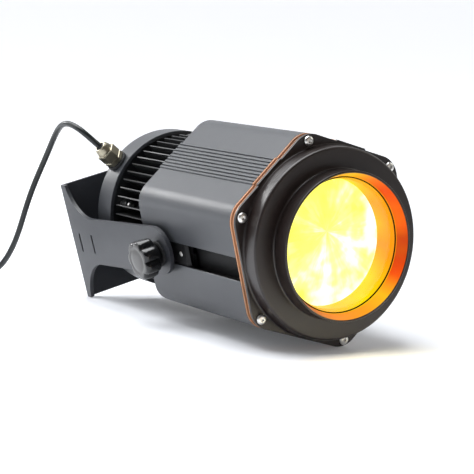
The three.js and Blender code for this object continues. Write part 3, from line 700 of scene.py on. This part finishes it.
def rounded_box_section(half_x, half_z, corner, steps=6):
    return (
        arc(half_x - corner, half_z - corner, corner, 0, 90, steps)
        + arc(corner - half_x, half_z - corner, corner, 90, 180, steps)
        + arc(corner - half_x, corner - half_z, corner, 180, 270, steps)
        + arc(half_x - corner, corner - half_z, corner, 270, 360, steps)
    )


def add_plug():
    place = Matrix.Translation(Vector(PLUG_PLACE) * MM)
    sections = [
        (0, 3.9, 3.9, 3.88), (-2, 4.3, 4.3, 4.28), (-8, 4.6, 4.6, 4.58), (-8.6, 5.3, 5.3, 5.28),
        (-10.4, 5.3, 5.3, 5.28), (-11, 4.8, 4.8, 4.78), (-14, 4.9, 4.9, 4.88), (-14.6, 5.7, 5.7, 5.68),
        (-16.4, 5.7, 5.7, 5.68), (-17, 5.1, 5.1, 5.08), (-20, 5.3, 5.3, 5.28), (-20.6, 6.2, 6.2, 6.18),
        (-22.4, 6.3, 6.3, 6.28), (-23, 5.9, 5.9, 5.88), (-26, 7.2, 7, 6.9), (-30, 10.5, 9.5, 7.5),
        (-35, 12.6, 11.4, 6.5), (-41, 13, 11.8, 5.5), (-47, 12.6, 11.4, 5.2), (-54, 13.2, 11.8, 5),
        (-60.6, 13.4, 12, 4.5), (-61.6, 13.1, 11.7, 4.2), (-62, 12.5, 11.1, 3.6),
    ]
    rings = []
    for y, half_x, half_z, corner in sections:
        rings.append([(x, y, z) for x, z in rounded_box_section(half_x, half_z, corner)])
    body = loft("plug_moulding", rings, place=place, sharp=50)
    settle(body, "lamp", "black_rubber", "plug_body")
    pins = []
    for name, x, z, half in PLUG_PINS:
        if name == "plug_ground_pin":
            profile = [(0.01, PLUG_PIN_END), (half, PLUG_PIN_END, 1.6), (half, -57), (0.01, -57)]
            pin = turned(name + "_round", profile, 32, False, place)
            pin.data.transform(Matrix.Translation((x * MM, 0, z * MM)))
        else:
            section = rounded_box_section(half, 3.2, 0.2, 2)
            pin = prism(name + "_flat", section, PLUG_PIN_END, -57, 0.3, place)
            hole = turned("hole", [(0.01, -2), (1.6, -2), (1.6, 2), (0.01, 2)], 24, False, place)
            hole.data.transform(Matrix.Rotation(math.pi / 2, 4, "Z"))
            hole.data.transform(Matrix.Translation((0, -75.5 * MM, 0)))
            combine(pin, "DIFFERENCE", hole)
            pin.data.transform(Matrix.Translation((x * MM, 0, z * MM)))
        settle(pin, "lamp", "nickel_brass", name)
        pins.append(pin)
    return [body, *pins]


cord = add_cord()
plug_pieces = add_plug()


# ---- floor and light, in metres ----
FLOOR_HALF = 40


def add_stage():
    """A pale floor that curves up into a far wall, seen as seamless white."""
    wall, sweep, height = 7, 2.5, 8
    path = [(-FLOOR_HALF, 0), *arc(wall - sweep, sweep, sweep, -90, 0, 15), (wall, height)]
    verts = []
    faces = []
    for k, (y, z) in enumerate(path):
        verts += [(-FLOOR_HALF, y, z), (FLOOR_HALF, y, z)]
        if k:
            faces.append((2 * k - 2, 2 * k - 1, 2 * k + 1, 2 * k))
    mesh = bpy.data.meshes.new("floor")
    mesh.from_pydata(verts, [], faces)
    mesh.shade_smooth()
    floor = bpy.data.objects.new("floor", mesh)
    scene.collection.objects.link(floor)
    material, tree = new_material("studio_white")
    shader = node(tree, "ShaderNodeBsdfPrincipled")
    output = node(tree, "ShaderNodeOutputMaterial")
    shader.inputs["Base Color"].default_value = (0.85, 0.865, 0.9, 1)
    shader.inputs["Roughness"].default_value = 0.55
    shader.inputs["Specular IOR Level"].default_value = 0.2
    shader.inputs["Emission Color"].default_value = (0.97, 0.98, 1.0, 1)
    place = node(tree, "ShaderNodeSeparateXYZ")
    tree.links.new(node(tree, "ShaderNodeTexCoord").outputs["Object"], place.inputs[0])
    tree.links.new(spread(tree, place.outputs["Y"], 0.2, 2.0, 0.08, 0.7), shader.inputs["Emission Strength"])
    tree.links.new(shader.outputs["BSDF"], output.inputs["Surface"])
    mesh.materials.append(material)


# name, place, target, width, height, power in watts, colour
SOFTBOXES = [
    ("overhead", (-0.35, 0.3, 1.5), (0, 0, 0.1), 1.5, 1.5, 42, (0.97, 0.985, 1.0)),
    ("left", (-1.6, 0.5, 0.7), (0, 0, 0.1), 1.0, 1.2, 6, (1, 1, 1)),
    ("rear_strip", (-0.74, 1.7, 0.9), (0, 0, 0.1), 0.45, 0.6, 11, (1, 1, 1)),
    ("lens_spill", (0.0, -0.25, 0.12), (0.1, -0.6, -0.1), 0.12, 0.12, 0.5, (1.0, 0.86, 0.5)),
    ("right", (1.3, -0.7, 0.9), (0.15, -0.3, 0), 0.8, 0.8, 5, (1.0, 0.98, 0.9)),
    ("front_low", (0.4, -1.7, 0.5), (0, 0, 0.08), 0.9, 0.7, 1.2, (1.0, 0.72, 0.55)),
]


def add_lights():
    """Soft area lights, and a world that is dimmer towards the front of the lamp."""
    for name, place, target, width, height, power, colour in SOFTBOXES:
        data = bpy.data.lights.new(name, "AREA")
        data.shape = "RECTANGLE"
        data.size = width
        data.size_y = height
        data.energy = power
        data.color = colour
        lamp = bpy.data.objects.new(name, data)
        scene.collection.objects.link(lamp)
        lamp.location = place
        lamp.rotation_mode = "QUATERNION"
        lamp.rotation_quaternion = (Vector(target) - Vector(place)).to_track_quat("-Z", "Y")
    world = bpy.data.worlds.new("studio")
    world.use_nodes = True
    tree = world.node_tree
    background = tree.nodes["Background"]
    background.inputs["Color"].default_value = (0.96, 0.98, 1.0, 1)
    way = node(tree, "ShaderNodeSeparateXYZ")
    tree.links.new(node(tree, "ShaderNodeTexCoord").outputs["Generated"], way.inputs[0])
    tree.links.new(spread(tree, way.outputs["Y"], -0.6, 0.5, 0.06, 0.36), background.inputs["Strength"])
    scene.world = world
    scene.view_settings.view_transform = "Standard"


add_stage()
add_lights()


# ---- the hexagonal cross-section ----
def on_face(normal, points):
    """Points given along a face and out from the axis, turned to that face's place."""
    nx, nz = polar(1, math.radians(normal))
    return [(out * nx - along * nz, out * nz + along * nx) for along, out in points]


def rib_band(grooved):
    points = [(-RIB_BAND_HALF - 0.6, APOTHEM), (-RIB_BAND_HALF, RIB_APOTHEM)]
    if grooved:
        floor = RIB_APOTHEM - RIB_GROOVE_DEPTH
        for i in range(RIB_GROOVES):
            low = (i - (RIB_GROOVES - 1) / 2) * RIB_GROOVE_PITCH - RIB_GROOVE_WIDTH / 2
            high = low + RIB_GROOVE_WIDTH
            points += [(low - 0.15, RIB_APOTHEM), (low, RIB_APOTHEM - 0.2), (low, floor), (high, floor),
                       (high, RIB_APOTHEM - 0.2), (high + 0.15, RIB_APOTHEM)]
    return points + [(RIB_BAND_HALF, RIB_APOTHEM), (RIB_BAND_HALF + 0.6, APOTHEM)]


def slot_cut():
    lip = APOTHEM - SLOT_LIP
    floor = APOTHEM - SLOT_DEPTH
    half = [(SLOT_HALF, floor), (SLOT_HALF, lip), (SLOT_MOUTH_HALF, lip), (SLOT_MOUTH_HALF, APOTHEM - 0.35),
            (SLOT_MOUTH_HALF + 0.35, APOTHEM)]
    return [(-x, out) for x, out in reversed(half)] + half


def hex_outline(grooved=False, slotted=False, grow=0.0):
    outline = []
    for face in range(6):
        normal = 60 * face
        if face in (1, 2):
            outline += on_face(normal, rib_band(grooved))
        if slotted and face % 3 == 0:
            outline += on_face(normal, slot_cut())
        cx, cz = polar(CORNER_CENTRE, math.radians(normal + 30))
        outline += arc(cx, cz, CORNER_RADIUS, normal, normal + 60, 20)
    return inset(outline, -grow) if grow else outline


def inner_outline():
    flat = APOTHEM - WALL
    back = APOTHEM - SLOT_DEPTH - 3.5
    side = SLOT_HALF + 3.6
    outline = []
    for face in range(6):
        points = [(-27.4, flat), (27.4, flat)]
        if face % 3 == 0:
            points = [(-27.4, flat), (-side, flat), (-side, back), (side, back), (side, flat), (27.4, flat)]
        outline += on_face(60 * face, points)
    return outline


def cylinder(name, radius, y0, y1, segments=64, x=0.0, z=0.0, place=LAMP):
    made = turned(name, [(0.01, y0), (radius, y0), (radius, y1), (0.01, y1)], segments, False, place)
    made.data.transform(Matrix.Translation((x * MM, 0, z * MM)))
    return made


# ---- housing, gaskets and front ----
def add_housing():
    body = prism("extruded_housing", hex_outline(True, True), HOUSING_FRONT, HOUSING_REAR, 0.35)
    inside = prism("inside", inner_outline(), HOUSING_FRONT - 2, HOUSING_REAR + 2)
    combine(body, "DIFFERENCE", inside, solver="FAST")
    settle(body, "lamp", "powder_black", "hex_housing")
    # painted shade: the faces inside each side channel take the near-black look for the shade in that recess
    lip = APOTHEM - 0.6
    extra_look(body, "channel_painted_shade", lambda reach, at, out: abs(at.z) < SLOT_HALF + 0.1 and abs(at.x) < lip)


def add_sheet(name, y0, y1, opening, slot, cad_node, grow):
    sheet = prism(name, hex_outline(grow=grow), y0, y1, min(0.5, (y1 - y0) * 0.3))
    combine(sheet, "DIFFERENCE", cylinder("opening", opening, y0 - 1, y1 + 1, 96))
    settle(sheet, "lamp", slot, cad_node)
    # painted light: the lens plate's inner edge, round the opening, takes the bore's glow
    if opening < 70:
        extra_look(sheet, "bore_glow", lambda reach, at, out: reach < 70)


def add_front_cover():
    flange = prism("front_casting", hex_outline(), 0, FLANGE_REAR, 0.7)
    boss = turned("boss", [
        (0.01, 2), (92.6, 2), (92.6, -0.1), (91.1, -0.6, 1.2), (BOSS_RADIUS, -4),
        (BOSS_RADIUS, BOSS_FRONT, 2.6), (HOOD_RADIUS, BOSS_FRONT, 1.6), (HOOD_RADIUS, HOOD_FRONT, 1.0),
        (0.01, HOOD_FRONT),
    ], 192, False)
    combine(flange, "UNION", boss)
    combine(flange, "UNION", turned("lip", [(60, 3), (66, 3), (66, 5.7, 0.2), (60, 5.7)], 192))
    bore = turned("bore", [
        (0.01, 7), (BORE_RADIUS, 7), (BORE_RADIUS, -16.5), (64.2, -16.5), (64.2, -24.6),
        (68.2, HOOD_FRONT + 0.7), (68.9, HOOD_FRONT - 0.1), (68.9, HOOD_FRONT - 1), (0.01, HOOD_FRONT - 1),
    ], 192, False)
    combine(flange, "DIFFERENCE", bore)
    settle(flange, "lamp", "cast_black", "front_cover")
    # painted light: the bore wall and the hood's inner wall glow with the lamp's light
    extra_look(flange, "bore_glow", lambda reach, at, out: out < 0.5 and reach < 65)
    extra_look(flange, "hood_glow", lambda reach, at, out: out < -0.5 and reach < 68.8 and at.y < -24.7)


def add_glass():
    disc = turned("cover_glass", [
        (0.01, -22.8), (63.3, -22.8, 0.4), (63.3, -18.3, 0.4), (0.01, -18.3),
    ], 128, False)
    settle(disc, "lamp", "clear_glass", "front_glass")
    ring = turned("glass_clip_ring", [
        (62.9, -24.2, 0.2), (63.95, -24.2, 0.2), (63.95, -22.9, 0.2), (62.9, -22.9, 0.2),
    ], 128)
    settle(ring, "lamp", "black_rubber", "retaining_ring", look="ring_brown")


def add_lens():
    rim, front, bulge = LENS_RADIUS, LENS_EDGE_FRONT, LENS_BULGE
    profile = [(0.01, 15.3), (rim, 15.3, 0.5), (rim, front + 0.2), (rim - 0.3, front)]
    sphere = (rim ** 2 + bulge ** 2) / (2 * bulge)
    for i in range(24, 0, -1):
        radius = (rim - 0.3) * i / 25
        profile.append((radius, front - bulge + sphere - math.sqrt(sphere ** 2 - radius ** 2)))
    profile.append((0.01, front - bulge))
    lens = turned("main_lens", profile, 128, False)
    settle(lens, "lamp", "clear_glass", "front_lens", look="lens_glow")


def hex_ring(y, across_flats, segments=48, turn=0.0):
    ring = []
    for i in range(segments):
        angle = 2 * math.pi * i / segments
        off = (angle - turn) % (math.pi / 3) - math.pi / 6
        x, z = polar(across_flats / 2 / math.cos(off), angle)
        ring.append((x, y, z))
    return ring


def button_head(name, radius, front, height, place, socket, shank=0.0, end=0.0, turn=0.0):
    """A domed socket screw whose head faces -Y."""
    rings = [
        hex_ring(front + 0.66 * height, socket - 0.5, turn=turn),
        hex_ring(front + 0.62 * height, socket, turn=turn),
        hex_ring(front + 0.12, socket + 0.05, turn=turn),
        hex_ring(front - 0.02, socket + 0.35, turn=turn),
        circle(front, radius * 0.5),
    ]
    for fraction in (0.62, 0.74, 0.84, 0.92, 0.975, 1.0):
        drop = 1 - math.sqrt(max(0, 1 - ((fraction - 0.5) / 0.52) ** 2))
        rings.append(circle(front + 0.86 * height * drop, radius * fraction))
    rings += [circle(front + 0.93 * height, radius * 1.0), circle(front + height, radius * 0.98)]
    if shank:
        rings += [circle(front + height, shank), circle(end, shank)]
    return loft(name, rings, place=place, sharp=40)


def add_cover_screws():
    for i in range(6):
        x, z = polar(SCREW_CIRCLE, math.radians(60 * i + 30))
        place = LAMP @ Matrix.Translation((x * MM, 0, z * MM))
        turn = 0.35 + 1.1 * i
        screw = button_head(f"flange_screw_{i + 1}", 4.9, -3.2, 2.9, place, 3.2, 2.5, 23.9, turn=turn)
        settle(screw, "lamp", "stainless", f"cover_screw_{i + 1}")


# ---- heat sink and rear cap ----
def tie_places():
    return [polar(TIE_CIRCLE, math.radians(TIE_ANGLE + 120 * i)) for i in range(3)]


def add_heat_sink():
    outline = []
    for i in range(FIN_COUNT):
        middle = math.radians(106.6 + 360 / FIN_COUNT * i)
        root = 1.15 / SINK_CORE
        tip = 0.95 / FIN_RADIUS
        outline += [polar(SINK_CORE + 1, middle - root), polar(FIN_RADIUS - 0.8, middle - tip)]
        outline += [polar(FIN_RADIUS - 0.2, middle - 0.6 * tip), polar(FIN_RADIUS, middle)]
        outline += [polar(FIN_RADIUS - 0.2, middle + 0.6 * tip)]
        outline += [polar(FIN_RADIUS - 0.8, middle + tip), polar(SINK_CORE + 1, middle + root)]
        valley = math.radians(106.6 + 360 / FIN_COUNT * (i + 0.5))
        outline.append(polar(SINK_CORE + 0.2, valley))
    fins = prism("sink_fins", outline, 179.2, FIN_REAR, 0.4)
    for x, z in tie_places():
        combine(fins, "DIFFERENCE", cylinder("room", 5.4, 240, 252.8, 32, x, z))
        combine(fins, "UNION", cylinder("lug", 5.2, 252.8, FIN_REAR - 0.5, 32, x, z))
    neck = cylinder("neck", SINK_CORE - 1, FIN_REAR - 1, 269.5, 96)
    base = prism("base", inset(inner_outline(), 0.4), 168, 178.7, 0.3)
    sink = join("finned_sink", fins, neck, base)
    settle(sink, "lamp", "black_anodised", "heat_sink")
    for i, (x, z) in enumerate(tie_places()):
        place = LAMP @ Matrix.Translation((x * MM, 0, z * MM))
        screw = button_head(f"sink_screw_{i + 1}", 4, 249, 3.5, place, 2.8, 2, 275, turn=0.4 + i)
        settle(screw, "lamp", "stainless", f"tie_screw_{i + 1}")


def add_rear_cap():
    cap = turned("rear_drum", [
        (0.01, CAP_REAR), (60, CAP_REAR), (60.6, CAP_REAR - 0.5), (62.4, CAP_REAR - 0.5), (63, CAP_REAR),
        (CAP_RADIUS, CAP_REAR, 8), (CAP_RADIUS, CAP_FRONT, 0.7), (79.6, CAP_FRONT, 0.4), (79.6, 297.5),
        (0.01, 297.5),
    ], 160, False)
    hole = cylinder("hole", 8.3, 70, 90, 48)
    hole.data.transform(GLAND_TURN)
    combine(cap, "DIFFERENCE", hole)
    settle(cap, "lamp", "powder_black", "rear_cap")
    plate = turned("drum_plate", [(44, 271, 0.3), (79.2, 271, 0.3), (79.2, 274, 0.3), (44, 274, 0.3)], 96)
    settle(plate, "lamp", "black_anodised", "cap_plate")


# ---- cable gland: pieces turned about Y, with y as the distance from the lamp's axis ----
GLAND_AXIS = Vector((math.cos(GLAND_ANGLE), 0, math.sin(GLAND_ANGLE)))
GLAND_SWING = Vector((0, 1, 0)).rotation_difference(GLAND_AXIS).to_matrix().to_4x4()
GLAND_TURN = Matrix.Translation((0, GLAND_Y * MM, 0)) @ GLAND_SWING


def hex_barrel(name, across, y0, y1, place):
    """A hexagon nut's body with its corners chamfered."""
    chamfer = 0.7
    rings = [
        hex_ring(y0, across - 2 * chamfer, 72), hex_ring(y0 + 0.25, across - chamfer, 72),
        hex_ring(y0 + chamfer, across, 72), hex_ring(y1 - chamfer, across, 72),
        hex_ring(y1 - 0.25, across - chamfer, 72), hex_ring(y1, across - 2 * chamfer, 72),
    ]
    return loft(name, rings, place=place, sharp=28)


def add_gland():
    place = LAMP @ GLAND_TURN
    washer = turned("gland_seal_washer", [
        (8.3, 83.7, 0.3), (11.6, 83.7, 0.6), (11.6, 86.6, 0.6), (8.3, 86.6, 0.3),
    ], 64, True, place)
    settle(washer, "lamp", "black_rubber", "gland_washer")
    hexagon = hex_barrel("gland_hexagon", GLAND_HEXAGON, 86.7, 92, place)
    thread_profile = [(0.01, 76), (7.9, 76)]
    for k in range(9):
        y = 76.5 + 1.2 * k
        thread_profile += [(8.0, y), (7.3, y + 0.6)]
    thread_profile += [(7.5, 88), (0.01, 88)]
    thread = turned("thread", thread_profile, 48, False, place)
    neck = turned("neck", [(0.01, 90), (7.5, 90), (7.5, 99), (0.01, 99)], 48, False, place)
    body = join("gland_base", hexagon, thread, neck)
    settle(body, "lamp", "nickel_brass", "gland_body")
    nut_rings = []
    for y, across in ((92.3, 17.4), (92.5, 18.4), (93, GLAND_HEXAGON), (101.6, GLAND_HEXAGON),
                      (102.6, 18.6), (103, 17.8)):
        nut_rings.append(hex_ring(y, across, 72))
    for radius, y in filleted([(8.7, 103.2), (8.6, 105, 2.5), (7.4, 109, 2), (6.3, 111, 0.6), (4.6, 111, 0.4),
                               (3.6, 108)], False):
        nut_rings.append(circle(y, radius, 72))
    nut = loft("gland_cap_nut", nut_rings, place=place, sharp=28)
    settle(nut, "lamp", "nickel_brass", "gland_nut")
    seal = turned("gland_grommet", [
        (3.2, 100, 0.2), (4.6, 100), (4.6, 111.2, 0.5), (3.9, 112, 0.3), (3.2, 112, 0.2),
    ], 48, True, place)
    settle(seal, "lamp", "black_rubber", "gland_seal")


# ---- yoke and its clamps ----
def yoke_side():
    """The arm's outline in (u, v), from its rounded end through the flares to the plate."""
    radius = (YOKE_ARM_TOP + YOKE_ARM_BOTTOM) / 2
    cu, cv = radius - YOKE_ARM_END, YOKE_ARM_TOP - radius

    def flare(edge):
        end = math.degrees(math.asin((YOKE_PLATE_HALF - edge - YOKE_FLARE) / YOKE_FLARE))
        return arc(YOKE_FLARE_START, edge + YOKE_FLARE, YOKE_FLARE, -90, end, 24)

    lower = [(u, -v) for u, v in reversed(flare(YOKE_ARM_BOTTOM))]
    return (arc(cu, cv, radius, 180, 90, 24) + flare(YOKE_ARM_TOP)
            + [(YOKE_REACH, YOKE_PLATE_HALF), (YOKE_REACH, -YOKE_PLATE_HALF)]
            + lower + arc(cu, cv, radius, 270, 183.75, 23))


def add_yoke():
    inside = YOKE_OUTSIDE - YOKE_THICKNESS
    arm_end = -YOKE_ARM_END - 5
    outer = filleted([(YOKE_OUTSIDE, arm_end), (YOKE_OUTSIDE, YOKE_REACH, YOKE_BEND),
                      (-YOKE_OUTSIDE, YOKE_REACH, YOKE_BEND), (-YOKE_OUTSIDE, arm_end)], False)
    inner = filleted([(-inside, arm_end), (-inside, YOKE_REACH - YOKE_THICKNESS, 0.5),
                      (inside, YOKE_REACH - YOKE_THICKNESS, 0.5), (inside, arm_end)], False)
    plan = outer + inner
    place = LAMP @ Matrix.Translation((0, PIVOT_Y * MM, 0)) @ Matrix.Rotation(-YOKE_TILT, 4, "X")
    sheet = loft("bent_yoke", [[(x, u, -80) for x, u in plan], [(x, u, 80) for x, u in plan]], place=place)
    side = yoke_side()
    width = YOKE_OUTSIDE + 2
    profile = loft("profile", [[(x, u, v) for u, v in side] for x in (-width, width)], place=place)
    combine(sheet, "INTERSECT", profile)
    for u in YOKE_SLOTS:
        slot = [(-width, u + x, z - 0.2) for x, z in rounded_box_section(1.5, 10.25, 1.4, 4)]
        far = [(width, y, z) for _, y, z in slot]
        combine(sheet, "DIFFERENCE", loft("slot", [slot, far], place=place))
    pivot = cylinder("pivot", 4.5, -width, width, 48, place=place)
    pivot.data.transform(Matrix.Rotation(math.pi / 2, 4, "Z"))
    combine(sheet, "DIFFERENCE", pivot)
    combine(sheet, "DIFFERENCE", cylinder("bolt_hole", 5.3, YOKE_REACH - 10, YOKE_REACH + 5, 48, place=place))
    for side_x in (-52, 52):
        section = [(side_x + x, z) for x, z in rounded_box_section(12, 4.25, 4.2, 6)]
        hole = prism("long_hole", section, YOKE_REACH - 10, YOKE_REACH + 5, place=place)
        combine(sheet, "DIFFERENCE", hole)
    bevelled(sheet, 0.5, 2)
    settle(sheet, "yoke", "yoke_black", "yoke")


def sideways(side, y=PIVOT_Y):
    """Takes a piece made about Y, with y as the distance from the lamp's axis, to one side of the lamp."""
    return Matrix.Translation((0, y * MM, 0)) @ Matrix.Rotation(-side * math.pi / 2, 4, "Z")


def add_slider(label, side):
    rear = HOUSING_REAR - 0.3
    head = rounded_box_section(4.5, 15, 1.0, 3)
    rings = []
    for y, cut in ((SLIDER_FRONT, 1.5), (SLIDER_FRONT + 1.5, 0), (rear - 0.8, 0), (rear, 0.8)):
        path = inset(head, cut) if cut else head
        rings.append([(85.9 + x, y, z) for x, z in path])
    body = loft("slider_" + label, rings)
    face_rings = []
    for y, out, half in ((SLIDER_FRONT, 90.0, 10.6), (SLIDER_FRONT + 3.5, 91.5, 11),
                         (SLIDER_FRONT + 4.5, 91.9, 11), (rear, 91.9, 11)):
        face_rings.append([(88, y, -half), (out - 0.5, y, -half), (out, y, -half + 0.5), (out, y, half - 0.5),
                           (out - 0.5, y, half), (88, y, half)])
    combine(body, "UNION", loft("face", face_rings))
    boss = turned("boss", [
        (0.01, 90), (10.8, 90), (10.8, 97.6, 0.6), (4.4, 97.6, 0.4), (4.4, 92), (0.01, 92),
    ], 64, False)
    boss.data.transform(sideways(1))
    combine(body, "UNION", boss)
    recess = cylinder("recess", 3.0, 89, 95, 32)
    recess.data.transform(sideways(1, LOCK_SCREW_Y))
    combine(body, "DIFFERENCE", recess)
    if side < 0:
        body.data.transform(Matrix.Scale(-1, 4, (1, 0, 0)))
        tidy_mesh(body.data)
    # painted shade: the slider block takes the near-black channel look for the shade it sits in
    settle(body, "carriage", "black_anodised", "slider_block_" + label, look="channel_painted_shade")


def knob_ring(y, valley, lobe):
    """A ring of (x, y, z) points whose radius waves between the valleys and the lobes."""
    ring = []
    for i in range(KNOB_STEPS):
        angle = 2 * math.pi * i / KNOB_STEPS
        wave = 0.5 + 0.5 * math.cos(KNOB_LOBES * angle)
        x, z = polar(valley + (lobe - valley) * wave ** 0.42, angle)
        ring.append((x, y, z))
    return ring


def add_clamp(label, side):
    place = LAMP @ sideways(side)
    body = "knob_" + label
    washer = turned("washer_" + label + "_ring", [
        (4.4, 102.35, 0.2), (13, 102.35, 0.5), (13, 104.2, 0.5), (4.4, 104.2, 0.2),
    ], 64, True, place)
    settle(washer, "washer_" + label, "black_rubber", "clamp_washer_" + label)
    stud = turned("stud_" + label, [
        (0.01, 84.5), (4, 84.5, 0.6), (4, 113.5), (0.01, 113.5),
    ], 48, False, place)
    settle(stud, body, "stainless", "clamp_stud_" + label)
    rings = []
    for y, radius in ((104.6, 10.9), (104.9, 11.4), (109.2, 12.3), (109.9, 13.0)):
        rings.append(circle(y, radius, KNOB_STEPS))
    for y, valley, lobe in ((110.0, 14.2, 16.2), (110.5, 15.6, 18.2), (111.6, 16.3, 19.3),
                            (113.4, 16.5, 19.75), (118, 16.5, 19.8), (122.5, 16.4, 19.75),
                            (124.8, 16.1, 19.4), (126.2, 15.5, 18.5), (127.0, 14.6, 17.0),
                            (127.3, 13.6, 15.0), (127.2, 12.8, 13.4), (126.9, 12.1, 12.2)):
        rings.append(knob_ring(y, valley, lobe))
    for y, radius in ((126.9, 11.2), (127.35, 9.6), (127.75, 7.2), (127.95, 4.2), (128, 1.2)):
        rings.append(circle(y, radius, KNOB_STEPS))
    knob = loft("knob_" + label + "_head", rings, place=place, sharp=50)
    settle(knob, body, "black_plastic", "clamp_knob_" + label)
    # painted reflection: the knob's front face takes the lighter look for the bright surroundings reflected
    # in it
    extra_look(knob, "knob_painted_sheen", lambda reach, at, out: abs(at.x) > 126.7)
    profile = [hex_ring(89.9, 2.2), hex_ring(90.1, 2.5), hex_ring(92.0, 2.5), hex_ring(92.15, 2.8),
               circle(92.15, 1.9), circle(91.9, 2.4), circle(91.5, 2.6), circle(85, 2.6)]
    screw_place = LAMP @ sideways(side, LOCK_SCREW_Y)
    screw = loft("grub_screw_" + label, profile, place=screw_place, sharp=40)
    settle(screw, "carriage", "stainless", "lock_screw_" + label)


add_housing()
add_sheet("silicone_front", 3.65, 5.8, GASKET_OPENING, "orange_silicone", "front_gasket", -0.9)
add_sheet("steel_lens_plate", 5.85, 7.75, 61.1, "stainless", "lens_plate", -2.6)
add_sheet("silicone_rear", 7.8, 9.75, GASKET_OPENING, "orange_silicone", "rear_gasket", -0.1)
add_front_cover()
add_glass()
add_lens()
add_cover_screws()
add_heat_sink()
add_rear_cap()
add_gland()
add_yoke()
for label, side in (("left", -1), ("right", 1)):
    add_slider(label, side)
    add_clamp(label, side)
